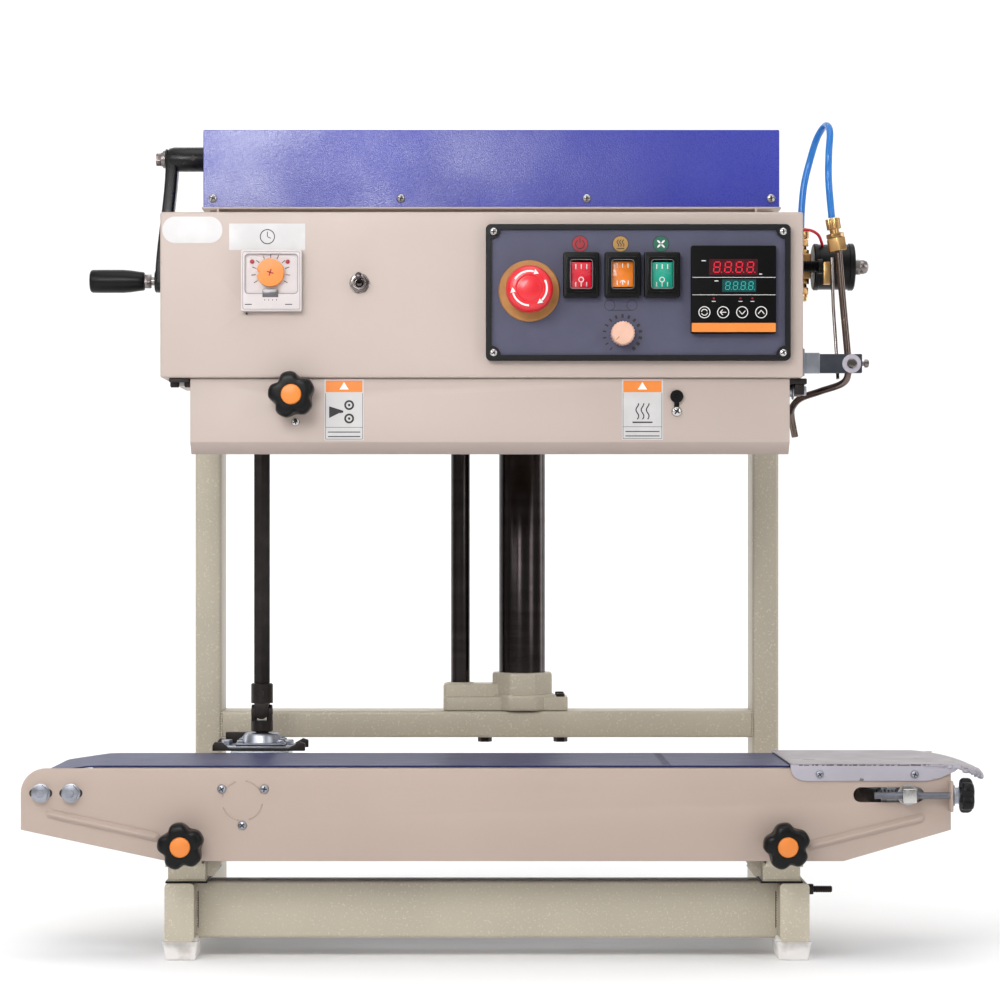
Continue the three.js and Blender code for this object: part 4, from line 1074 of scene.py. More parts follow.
def drive_line():
    x, y = -206, 195
    housing = Shape().copy_of("gear_housing", 1.0)
    for dx in (-32, 24):
        housing.prism("z", polygon((x + dx, y), 5), 174, 178.5, 0.4)
    place(housing, "gear_housing_case", "zinc", "frame", ["gear_housing"])
    flange = Shape()
    flange.box((x - 23, x + 23), (y - 21, y + 21), (174.2, 176.4), 0.9, 3)
    cap = [(6.4, 176), (18.5, 176), (17.6, 178), (17.0, 182.6), (15.6, 184.4), (13, 185), (11, 183.4),
           (6.4, 183), (6.4, 176)]
    flange.turn("z", (x, y), cap, 64)
    for dx in (-18, 18):
        for dy in (-16, 16):
            flange.prism("z", polygon((x + dx, y + dy), 3.6), 176.2, 179, 0.4)
            flange.turn("z", (x + dx, y + dy), [(0, 178.8), (1.7, 178.8), (1.7, 180.4), (0, 180.6)], 16)
    place(flange, "flange_bearing_cap", "zinc", "frame")
    feet = Shape()
    wing = [(x - 43, 169.8), (x + 41, 169.8), (x + 41, 176.6), (x + 36, 178.2), (x + 26, 172.4),
            (x - 28, 172.4), (x - 34, 177.4), (x - 41, 177.8), (x - 43, 175)]
    feet.prism("y", wing, 168, 173.6, 0.9, 3)
    feet.prism("y", wing, 216.4, 222, 0.9, 3)
    feet.box((x - 36, x - 10), (222.6, 226), (172, 183.6), 0.8)
    place(feet, "bearing_wings", "oxide", "frame")
    # The lower yoke's collar and ears, the cross, then the upper yoke turned a quarter, with its set screw.
    joint = Shape()
    joint.turn("z", (x, y), [(0, 130), (6, 130), (6, 186), (9.2, 186), (10, 187), (10, 196), (0, 196)], 48)
    for sign in (-1, 1):
        joint.prism("x", [(y - 6.5, 195.5), (y + 6.5, 195.5), *arc(y, 204, 6.5, 0, 180, 10)],
                    *sorted((x + sign * 4.6, x + sign * 9.4)), 0.7)
        joint.prism("y", [(x - 6.5, 212.5), (x + 6.5, 212.5), *arc(x, 204, 6.5, 0, -180, 10)],
                    *sorted((y + sign * 4.6, y + sign * 9.4)), 0.7)
    joint.box((x - 4.4, x + 4.4), (y - 4.4, y + 4.4), (199.5, 208.5), 0.8)
    joint.cylinder("x", (y, 204), 2.6, x - 9.8, x + 9.8, 24)
    joint.cylinder("y", (x, 204), 2.6, y - 9.8, y + 9.8, 24)
    joint.turn("z", (x, y), [(0, 212), (10, 212), (10, 228.8), (9, 230), (0, 230)], 48)
    joint.cylinder("y", (x, 221), 2.4, y - 10.6, y - 9, 20)
    place(joint, "universal_joint_yokes", "oxide", "drive_shaft", ["universal_joint"])
    shaft = Shape()
    shaft.prism("z", polygon((x, y), 14 / math.sqrt(3), math.pi / 6), 230.3, 523.7, 0.6)
    place(shaft, "hex_shaft_bar", "oxide", "drive_shaft", ["hex_shaft"])


# ---------------------------------------------------------------- head: housings
def solid_of(shape):
    """The shape as a temporary object, for cutting."""
    mesh = bpy.data.meshes.new("solid")
    bmesh.ops.recalc_face_normals(shape.bm, faces=shape.bm.faces)
    shape.bm.to_mesh(mesh)
    shape.bm.free()
    made = bpy.data.objects.new("solid", mesh)
    bpy.context.scene.collection.objects.link(made)
    return made


def carve(shape, *cutters):
    """Cuts the other shapes out of this one."""
    body = solid_of(shape)
    tools = [solid_of(cutter) for cutter in cutters]
    for tool in tools:
        modifier = body.modifiers.new("cut", "BOOLEAN")
        modifier.operation = "DIFFERENCE"
        modifier.solver = "EXACT"
        modifier.object = tool
    bpy.context.view_layer.update()
    result = bpy.data.meshes.new_from_object(body.evaluated_get(bpy.context.evaluated_depsgraph_get()))
    for thing in [body, *tools]:
        bpy.data.objects.remove(thing)
    carved = Shape()
    carved.bm.from_mesh(result)
    bpy.data.meshes.remove(result)
    return carved


def copy_into(shape, other):
    """Adds a finished shape to another one."""
    mesh = bpy.data.meshes.new("scratch")
    other.bm.to_mesh(mesh)
    other.bm.free()
    shape.bm.from_mesh(mesh)
    bpy.data.meshes.remove(mesh)


BOX_X, BOX_Z, BOX_DEPTH = (-277, 268), (498, 638.5), 200
SEALS = {"front": 45, "rear": 117}


def control_box():
    (x0, x1), (z0, z1) = BOX_X, BOX_Z
    outer = Shape().box((x0, x1), (0, BOX_DEPTH), (z0, z1), 2.4, 4)
    inner = Shape().box((x0 + 2, x1 - 2), (2, BOX_DEPTH + 5), (z0 + 2, z1 - 2), 1.0, 2)
    holes = Shape().box((7, 248.6), (-1, 4), (520, 619.4), 2)
    holes.box((-204.3, -159.9), (-1, 4), (557.2, 601.9), 0.5)
    bottom = Shape().cylinder("z", (-206, 185), 22, 490, 503, 40)
    for y in SEALS.values():
        for x in (-205, 205):
            bottom.cylinder("z", (x, y), 7, 490, 503, 24)
    vents = Shape()
    for k in range(8):                            # ventilation louvres in both ends
        y = 60 + k * 14
        for x in (x0, x1):
            vents.prism("x", arc(y, 600, 2, 0, 180, 6) + arc(y, 560, 2, 180, 360, 6), x - 5, x + 5, 0)
    box = carve(outer, inner, holes, bottom, vents)
    place(box, "control_box_shell", "beige", "head", ["control_box"], 30)
    bushing = Shape()
    tx, tz = -108, 577.8
    bushing.prism("y", polygon((tx, tz), 8.2, 0.2), -3.6, -1.0, 0.5)
    collar = [(4.6, -6.5), (5.6, -6.5), (6.0, -5.8), (6.0, -3.4), (4.6, -3.4), (4.6, -6.5)]
    washer = [(4.6, -1.0), (8.6, -1.0), (8.6, -0.1), (4.6, -0.1), (4.6, -1.0)]
    for profile in (collar, washer):
        bushing.turn("y", (tx, tz), profile, 40)
    place(bushing, "toggle_nut", "nickel", "head")
    lean = Matrix.Translation((tx, -3, tz)) @ Matrix.Rotation(math.radians(-16), 4, "X")
    bat = [(0, -20.4), (1.6, -20.2), (2.5, -19.2), (2.75, -17.8), (2.4, -16), (1.9, -13), (1.8, -3),
           (3.2, -1.8), (3.6, 0), (3.2, 1.8), (0, 3.6)]
    lever = Shape().turn("y", (0, 0), bat, 32, lean=lean)
    place(lever, "toggle_bat", "dark_steel", "toggle", ["toggle_lever"])


def rear_screw(shape, x, z, y):
    """A domed screw head that faces backwards from y."""
    shape.turn("y", (x, z), [(0, y), (4, y), (3.6, y + 2.0), (2, y + 2.8), (0, y + 3.0)], 24)


def head_housings():
    chassis = Shape().copy_of("head_chassis", 0.7)
    chassis.box((-256, 264), (216.7, 218.2), (640, 674), 0.4)
    place(chassis, "chassis_shell", "beige", "head", ["head_chassis"])
    outer = Shape().box((-262, 270), (215, 350), (668, 740), 1.6, 3)
    inner = Shape().box((-260.5, 268.5), (216.5, 348.5), (660, 738.5), 0.6)
    bore = Shape().cylinder("x", (300, 724), 7, -265, -255, 32)
    place(carve(outer, inner, bore), "top_cover_shell", "blue", "head", ["top_cover"], 30)
    cover_screws = [(x, 676.5, 215, 4.2) for x in (-253, -79.5, 92, 262)]
    screws("cover_screws", "head", cover_screws, "steel")
    back = Shape()
    for x in (-240, -80, 80, 248):
        for z in (512, 600):
            rear_screw(back, x * 0.98, z, 344.8)
        rear_screw(back, x, 676.5, 349.8)
    place(back, "rear_screws", "steel", "head")
    # Painted shade: flat dark slot shapes on the back stand for the shadowed openings of the vents.
    grille = Shape()
    for k in range(14):
        x = -60 + k * 9
        grille.prism("y", arc(x, 620, 2.2, 0, 180, 6) + arc(x, 570, 2.2, 180, 360, 6), 344.7, 345.4, 0)
    place(grille, "rear_vent_slots", "ink_and_shade_dark", "head")

    guard = Shape().copy_of("belt_guard", 0.5)
    place(guard, "guard_sheet", "beige", "head", ["belt_guard"])
    front_knob("guard_star", "guard_knob", -164.5, 482.8, -5, 11.5, 6.5)
    plug = Shape()
    button = [(0, 5), (5.5, 5), (5.5, 2.2), (4.7, 1.5), (2.6, 1.5), (2.4, 2.4), (0, 2.4)]
    plug.turn("y", (161, 482.3), button, 40)
    plug.box((158.8, 163.2), (3.6, 5.2), (470, 482), 0.6)
    place(plug, "guard_grommet", "black", "head")
    screws("guard_screw", "head", [(161, 469.6, 5, 4.6), (-162.5, 460.6, 5, 3.6)], "steel")
    under = Shape()                               # a strip and two screws at the left, a block at the right
    under.box((-270, -253), (4, 60), (494.5, 497.9), 0.8)
    for x in (-266, -254):
        under.turn("z", (x, 14), [(0, 490.5), (3.4, 490.5), (4, 492), (4, 495), (0, 495)], 24)
    under.box((254.5, 272), (8, 44), (493, 497.9), 1.0)
    under.box((262, 270), (10, 40), (484, 494), 1.2)
    place(under, "under_brackets", "oxide", "head")
    pulley = Shape()
    pulley.turn("x", (24, 488), [(0, 254), (5, 254), (5, 260.5), (7.5, 261), (7.5, 262), (0, 262)], 32)
    pulley.prism("x", polygon((24, 488), 4.6), 269.8, 273, 0.5)
    place(pulley, "infeed_pulley", "zinc", "head")


# ---------------------------------------------------------------- head: sealing mechanism
WHEEL_X = 205                                 # a wheel's middle, to either side
BAND_Z = (457, 473)
# Radius and height up a wheel: its stub, the rim that carries the band, the shaft and the pulley above.
WHEEL = [(0, 447.2), (4.6, 447.2), (5, 448), (5, 453), (9, 453), (9, 457), (24, 457), (24, 455.3),
         (30.2, 455.3), (31, 456), (31, 474), (30.2, 474.7), (24, 474.7), (24, 472), (9, 472), (9, 478),
         (5, 478), (5, 508), (15.5, 508), (16, 509), (16, 517), (15.5, 518), (5, 518), (5, 528), (0, 528)]


def seal_wheel(name, x, y):
    wheel = Shape().turn("z", (x, y), WHEEL, 72)
    for k in range(5):                            # screw heads in the web
        wheel.cylinder("z", polar(x, y, 16, 2 * math.pi * k / 5), 2, 456.2, 458, 16)
    place(wheel, f"{name}_turned", "aluminium", name, [name])


def seal_band(row, y):
    """The loop round both wheels of a row."""
    low, high = BAND_Z
    outer, inner = ([polar(x, y, r, math.radians(a))
                     for x, start in ((WHEEL_X, -90), (-WHEEL_X, 90)) for a in range(start, start + 181, 6)]
                    for r in (32.1, 31.3))
    part = bmesh.new()
    rings = [[part.verts.new((u, v, h)) for u, v in loop]
             for loop, h in ((outer, low), (outer, high), (inner, high), (inner, low))]
    bridge(part, rings + rings[:1])
    place(Shape().absorb(part), f"{row}_band_loop", "ptfe", "head", [f"{row}_seal_band"], 60)


def seal_block(row, y, toward):
    """The heating and cooling bars of a row, ribbed on the side away from the bags, and their hangers."""
    far = y + toward * 16
    y0, y1 = sorted((y + toward * 31, far))
    rib_pitch, rib_width, rib_depth = 12, 5, 3
    block = Shape()
    for x0, x1 in ((-150, -52), (-48, 148)):
        block.box((x0, x1), (y0, y1), (452, 478), 1.2)
        for k in range(int((x1 - x0) / rib_pitch)):
            left = x0 + 8 + k * rib_pitch
            block.box((left, left + rib_width), sorted((far, far - toward * rib_depth)), (455, 475), 0.4)
    middle = (y0 + y1) / 2
    for x in (-90, 0, 90):
        block.cylinder("z", (x, middle), 5, 477, 497.6, 32, 0.3)
        block.prism("z", polygon((x, middle), 7), 478, 482, 0.4)
    place(block, f"{row}_block_bars", "aluminium", "head", [f"{row}_seal_block"])


def sealing():
    for row, y in SEALS.items():
        seal_wheel(f"{row}_drive_wheel", -WHEEL_X, y)
        seal_wheel(f"{row}_idle_wheel", WHEEL_X, y)
        seal_band(row, y)
        seal_block(row, y, 1 if row == "front" else -1)


def inner_drive():
    case = [(0, -190), (34, -190), (34, -184), (31, -183), (31, -86), (34, -85), (34, -74), (30, -70),
            (0, -70)]
    motor = Shape().turn("x", (262, 602.3), case, 72, 0.6)
    motor.turn("x", (262, 602.3), [(0, -74), (20, -74), (20, -61), (18, -60), (0, -60)], 48, 0.4)
    motor.box((-170, -90), (236, 288), (560.4, 578), 1.5)
    motor.box((-216, -186), (234, 290), (560.4, 644), 3.0, 3)
    place(motor, "drive_motor_case", "zinc", "head", ["drive_motor"])
    screw = Shape()
    x, y = 33.4, 300
    profile = [(0, 480)]
    for k in range(55):
        h = 480.5 + k * 4
        profile += [(6.6, h), (8, h + 1), (8, h + 2.2), (6.6, h + 3.2)]
    screw.turn("z", (x, y), profile + [(6.6, 702), (0, 702)], 32)
    screw.turn("z", (x, y), [(0, 702), (18, 702), (18, 705), (11, 711.6), (8, 712), (0, 712)], 48)
    place(screw, "lead_screw_thread", "steel", "lead_screw", ["lead_screw"])


# ---------------------------------------------------------------- head: crank
def crank():
    y, z, reach = 300, 724, 116
    hub = [(0, -305.6), (5, -305.6), (8.4, -304.6), (10.6, -302), (11.6, -298), (11.6, -263.5),
           (10.8, -262.4), (0, -262.4)]
    arm = Shape().turn("x", (y, z), hub, 64)
    arm.cylinder("x", (y, z), 6, -263, 12, 32)
    arm.turn("x", (y, z), [(0, 8), (9.5, 8), (5.6, 20), (0, 20)], 40)
    # The arm leans outwards and narrows to the boss that holds the grip.
    part = bmesh.new()
    levels, rings = 16, []
    for k in range(levels + 1):
        t = k / levels
        ease = t * t * (3 - 2 * t)
        centre_x = -299.5 - 10 * ease
        drop = z + 4 - t * (reach + 6)
        half_y = 11.4 - 3.4 * math.sin(math.pi * min(1, t * 1.15)) ** 0.7
        section = rounded((-5.8, 5.8), (-half_y, half_y), 2.6, 3)
        rings.append([part.verts.new((centre_x + a, y + b, drop)) for a, b in section])
    bridge(part, rings)
    part.faces.new(rings[0])
    part.faces.new(rings[-1])
    arm.absorb(part)
    eye = z - reach
    boss = [(4.3, -316), (10, -316), (10.8, -315), (10.8, -305), (10, -304), (4.3, -304), (4.3, -316)]
    arm.turn("x", (y, eye), boss, 48)
    arm.cylinder("x", (y, z + 1), 9, -306, -304, 40, 0.4)
    place(arm, "crank_casting", "black_cast", "crank", ["crank_arm"], 50)
    bolt = Shape()
    bolt.turn("x", (y, z), [(0, -308.4), (8.2, -308.4), (8.4, -307.8), (8.4, -306.4), (0, -306.4)], 48)
    bolt.turn("x", (y, z), [(0, -310.2), (6.6, -310.2), (6.8, -309.8), (6.8, -308.4), (0, -308.4)], 48)
    bolt.prism("x", polygon((y, z), 6.6, 0.3), -315, -310.1, 0.6)
    place(bolt, "crank_bolt", "nickel", "crank")
    key = Shape().cylinder("y", (-279, z), 2.4, y - 11.9, y - 10.5, 20)
    place(key, "crank_set_screw", "oxide", "crank")
    grip = Shape()
    profile = [(0, -378), (8.8, -377.8), (10.2, -377), (10.9, -375.4), (11, -368), (11, -346), (10.4, -339),
               (9.4, -332), (8.8, -327.2), (8.2, -326.2), (0, -326.2)]
    grip.turn("x", (y, eye), profile, 64)
    place(grip, "crank_grip_sleeve", "black", "grip", ["crank_grip"], 50)
    pin = Shape()
    pin.turn("x", (y, eye), [(0, -378.4), (3.6, -378.2), (3.8, -377.4), (0, -377.4)], 24)
    pin.prism("x", polygon((y, eye), 7.4, 0.2), -326.4, -319.6, 0.7)
    pin.cylinder("x", (y, eye), 4, -320, -303, 32)
    pin.prism("x", polygon((y, eye), 6.4, 0.5), -303.6, -299, 0.5)
    place(pin, "crank_grip_pin", "nickel", "grip")


# ---------------------------------------------------------------- head: controls
PANEL_X, PANEL_Z = (-1, 256.6), (512, 627.4)
PANEL_FACE = -5.6                                # front of the recessed plate
ROCKERS = (("power", 79.4, "rocker_red", "red_plastic"), ("heat", 114.3, "rocker_amber", "amber_plastic"),
           ("fan", 147.6, "rocker_green", "green_plastic"))


def decal(shape, outline, y, thick=0.15):
    """A printed patch: a very thin raised film."""
    shape.prism("y", outline, y - thick, y, 0)


def line(shape, u0, v0, u1, v1, width, y, thick=0.15):
    length = math.hypot(u1 - u0, v1 - v0)
    a, b = (v0 - v1) / length * width / 2, (u1 - u0) / length * width / 2
    decal(shape, [(u0 + a, v0 + b), (u1 + a, v1 + b), (u1 - a, v1 - b), (u0 - a, v0 - b)], y, thick)


def trace(shape, points, width, y, thick=0.15):
    """Strokes from point to point."""
    for (u0, v0), (u1, v1) in zip(points, points[1:]):
        line(shape, u0, v0, u1, v1, width, y, thick)


def band_arc(shape, u, v, r0, r1, start, end, y, thick=0.15, steps=20):
    decal(shape, arc(u, v, r1, start, end, steps) + arc(u, v, r0, end, start, steps), y, thick)


def printed_ring(shape, u, v, r0, r1, y, thick=0.15, steps=20):
    """A printed ring. It stops a hair short of closing, so that its outline doesn't touch itself."""
    band_arc(shape, u, v, r0, r1, 0, 359.9, y, thick, steps)


def panel():
    (x0, x1), (z0, z1) = PANEL_X, PANEL_Z
    outer = Shape().prism("y", rounded((x0, x1), (z0, z1), 4.5, 6), -8.2, -0.3, 1.4, 3)
    pocket = Shape()
    inset, boss, corners = 4.8, 7.6, []
    for cx, cz, start in ((x1 - inset, z0 + inset, 180), (x1 - inset, z1 - inset, 270),
                          (x0 + inset, z1 - inset, 360), (x0 + inset, z0 + inset, 90)):
        corners += arc(cx, cz, boss, start, start - 90, 10)
    pocket.prism("y", corners, -12, PANEL_FACE + 0.7, 0.0)
    frame_ring = carve(outer, pocket)
    place(frame_ring, "panel_bezel", "panel_rim", "head", ["control_panel"], 40)
    plate_holes = Shape()
    for _, x, _, _ in ROCKERS:
        plate_holes.box((x - 9.6, x + 9.6), (-20, 10), (584 - 12.4, 584 + 12.4), 0.5)
    for x, z, r in ((35.6, 570.8, 11.6), (114.4, 534.5, 3.6)):
        plate_holes.cylinder("y", (x, z), r, -20, 10, 32)
    plate_holes.box((174.8, 240.8), (-20, 10), (537.2, 605.7), 0.5)
    face = Shape().prism("y", rounded((x0 + 3.6, x1 - 3.6), (z0 + 3.6, z1 - 3.6), 3), PANEL_FACE, -4.2, 0)
    place(carve(face, plate_holes), "panel_plate", "panel", "head")
    corner_screws = [(x, z, -8.2, 3.4) for x in (x0 + 6.6, x1 - 6.6) for z in (z0 + 6.6, z1 - 6.6)]
    screws("panel_screws", "head", corner_screws, "steel")
    panel_print()


def panel_print():
    y = PANEL_FACE
    dark, tones = Shape(), {}
    icon_z, r = 610.7, 7.0
    for x, tone in ((78.6, "ink_red"), (112.8, "ink_tan"), (147.0, "ink_green")):
        tones[tone] = Shape()
        decal(tones[tone], circle(x, icon_z, r - 0.3, 40), y)
        printed_ring(dark, x, icon_z, r - 0.6, r, y, 0.18, 60)
    # Power: an open ring and a bar. Heat: three wavy lines over a base. Fan: four blades.
    band_arc(dark, 78.6, icon_z - 0.3, 3.3, 4.1, 120, 420, y - 0.15, 0.1, 30)
    line(dark, 78.6, icon_z + 0.6, 78.6, icon_z + 5.0, 0.8, y - 0.15, 0.1)
    for dx in (-2.2, 0, 2.2):
        wave = [(112.8 + dx + 0.8 * math.sin(t * 0.9), icon_z - 2.2 + t * 0.72) for t in range(9)]
        trace(dark, wave, 0.7, y - 0.15, 0.1)
    line(dark, 109.6, icon_z - 3.9, 116.0, icon_z - 3.9, 0.7, y - 0.15, 0.1)
    blades = Shape()
    for k in range(4):
        a = math.radians(45 + 90 * k)
        cu, cv = polar(147.0, icon_z, 2.5, a)
        decal(blades, [(cu + 1.9 * math.cos(t) * math.cos(a) - 0.8 * math.sin(t) * math.sin(a),
                        cv + 1.9 * math.cos(t) * math.sin(a) + 0.8 * math.sin(t) * math.cos(a))
                       for t in (2 * math.pi * i / 20 for i in range(20))], y - 0.15, 0.1)
    place(blades, "fan_icon_blades", "ink_white", "head")
    # A conveyor pictogram below the middle switch: two pulleys and the belt's lower run.
    for x in (103.7, 122.5):
        printed_ring(dark, x, 558.9, 4.1, 4.6, y, 0.15, 40)
    line(dark, 103.7, 554.6, 122.5, 554.6, 0.5, y)
    for k in range(15):                           # speed scale round the knob, growing clockwise
        a = math.radians(232 - 284 * k / 14)
        size = 0.7 + 1.25 * k / 14
        middle = polar(114.5, 534.4, 15.4, a)
        line(dark, *polar(*middle, -1.5, a), *polar(*middle, 1.5, a), size * 1.4, y)
    place(dark, "panel_dark_print", "ink_and_shade_dark", "head")
    for tone, shape in tones.items():
        place(shape, f"icon_disc_{tone}", tone, "head")


def emergency_stop():
    x, z = 35.6, 570.8
    plate = [(11.8, PANEL_FACE), (25.6, PANEL_FACE), (26, -6.4), (26, -7.2), (25.2, -8), (17, -8.2),
             (16, -10.5), (11.8, -10.5), (11.8, PANEL_FACE)]
    place(Shape().turn("y", (x, z), plate, 96), "estop_plate", "tan_plate", "head")
    mushroom = [(0, 2.5), (11, 2.5), (11, -19), (17.2, -20), (19.2, -21.5), (19.9, -24), (19.6, -27.5),
                (18.2, -30.4), (15.6, -32.4), (12.4, -33.3), (11.2, -33.2), (10.6, -32.6), (10.2, -32.6),
                (9.2, -33.2), (5, -33.9), (0, -34)]
    button = Shape().turn("y", (x, z), mushroom, 96)
    place(button, "estop_mushroom", "red", "estop", ["estop_button"], 40)
    arrows, middle, top = Shape(), 14.4, -32.75
    for k in range(3):                            # three turning arrows on the button's rim
        start = 148 - 120 * k
        shaft = [polar(x, z, middle, math.radians(a)) for a in range(start, start - 76, -6)]
        trace(arrows, shaft, 1.5, top, 0.5)
        a = math.radians(start - 74)
        head = [polar(x, z, middle, a - 0.30), polar(x, z, 16.6, a), polar(x, z, 12.2, a)]
        decal(arrows, head, top, 0.55)
    place(arrows, "estop_arrows", "ink_white", "estop")


def rockers():
    z, half_w, half_h = 584, 15.2, 19.2
    housings, boots, edges = Shape(), Shape(), Shape()
    for name, x, finish, slot in ROCKERS:
        body = Shape().prism("y", rounded((x - half_w, x + half_w), (z - half_h, z + half_h), 2, 4), -14.6,
                             PANEL_FACE + 0.1, 1.6, 3)
        window = Shape().prism("y", rounded((x - 9.5, x + 9.5), (z - 12.2, z + 12.2), 1, 3), -20, 6, 0)
        cut_out = carve(body, window)
        copy_into(housings, cut_out)
        for side in (-1, 1):                      # a raised rim: its upright bars, then the level ones
            housings.box(sorted((x + side * 10.2, x + side * 12.4)), (-15.8, -14.2), (z - 15, z + 15), 0.6)
        for side in (-1, 1):
            level = sorted((z + side * 12.9, z + side * 15.1))
            housings.box((x - 12.4, x + 12.4), (-15.8, -14.2), level, 0.6)
        frame_edge = rounded((x - 12, x + 12), (z - 14.8, z + 14.8), 2.6, 4)
        boot = Shape().prism("y", frame_edge, -17.6, -15.9, 0.8, 3)
        opening = Shape().prism("y", rounded((x - 9.2, x + 9.2), (z - 12, z + 12), 2.0, 4), -20, -13, 0)
        copy_into(boots, carve(boot, opening))
        # Painted highlights: thin grey loops along the boot's inner and outer rims, where its gloss catches
        # the light.
        for half_x, half_z, y in ((9.4, 12.2, -17.55), (11.6, 14.4, -17.3)):
            loop = rounded((x - half_x, x + half_x), (z - half_z, z + half_z), 2.2, 4)
            trace(edges, loop + loop[:1], 0.35, y, 0.12)
        tilt = 8 if name != "heat" else -8
        lean = Matrix.Translation((x, -8.5, z)) @ Matrix.Rotation(math.radians(tilt), 4, "X")
        faces = [(3, -8), (-3.6, -11.2), (-3.9, -10.6), (-3.1, -6), (-2.7, -1.5), (-2.6, 0), (-2.7, 1.5),
                 (-3.1, 6), (-3.9, 10.6), (-3.6, 11.2), (3, 8)]
        rocker = Shape().prism("x", faces, -9, 9, 0.4, 2, lean)
        place(rocker, f"{name}_rocker_cap", finish, f"rocker_{name}", [f"{name}_rocker"])
        print_on = Shape()
        for dx in (-4.6, 0, 4.6):
            line(print_on, dx, 5.4, dx, 9.4, 0.8, -3.6, 0.3)
            line(print_on, dx, -9.4, dx, -5.6, 0.8, -3.6, 0.3)
        printed_ring(print_on, 0, -3.6 if name != "heat" else -7.4, 1.6, 2.4, -3.0, 0.3, 24)
        print_on.bm.transform(lean)
        place(print_on, f"{name}_rocker_marks", "ink_white", f"rocker_{name}")
    place(housings, "rocker_housings", "black", "head")
    place(boots, "rocker_boots", "black_gloss", "head")
    place(edges, "rocker_boot_edges", "edge_grey", "head")


def speed_knob():
    x, z = 114.4, 534.5
    knob = Shape()
    part = bmesh.new()
    sides, rings = 144, []
    levels = ((-8.0, 9.6, 0.0), (-8.6, 10.0, 0.3), (-18.6, 9.8, 0.3), (-19.8, 9.4, 0.15), (-20.6, 8.2, 0.0))
    for y, r, flute in levels:
        rings.append([part.verts.new((x + (r + flute * math.cos(24 * a)) * math.cos(a), y,
                                      z + (r + flute * math.cos(24 * a)) * math.sin(a)))
                      for a in (2 * math.pi * i / sides for i in range(sides))])
    bridge(part, rings)
    part.faces.new(rings[0])
    part.faces.new(rings[-1])
    knob.absorb(part)
    knob.cylinder("y", (x, z), 3, -8.5, 9, 24)
    place(knob, "speed_knob_fluted", "peach", "speed", ["speed_knob"], 30)
    mark = Shape()
    line(mark, x - 3.2, z - 3.2, x - 5.8, z - 5.8, 0.8, -20.55, 0.2)
    place(mark, "speed_pointer", "ink_tan", "speed")


SEGMENTS = ((-1, 2, 1, 2), (-1, 0, 1, 0), (-1, -2, 1, -2), (-1, 0, -1, 2), (1, 0, 1, 2), (-1, -2, -1, 0),
            (1, -2, 1, 0))                        # from (u, v) to (u, v), in half widths and quarter heights


def digits(shape, left, right, low, high, count, y, width):
    """Seven-segment digits, all segments drawn."""
    pitch = (right - left) / count
    half_w, half_h = pitch * 0.27, (high - low) / 2 * 0.74
    for k in range(count):
        cx, cz = left + pitch * (k + 0.5), (low + high) / 2
        for u0, v0, u1, v1 in SEGMENTS:
            a = (cx + u0 * half_w + v0 * half_h / 2 * 0.1, cz + v0 * half_h / 2)
            b = (cx + u1 * half_w + v1 * half_h / 2 * 0.1, cz + v1 * half_h / 2)
            du, dv = (b[0] - a[0]) * 0.12, (b[1] - a[1]) * 0.12
            line(shape, a[0] + du, a[1] + dv, b[0] - du, b[1] - dv, width, y, 0.15)
        decal(shape, circle(cx + half_w + 1.3, cz - half_h, width * 0.55, 10), y, 0.15)


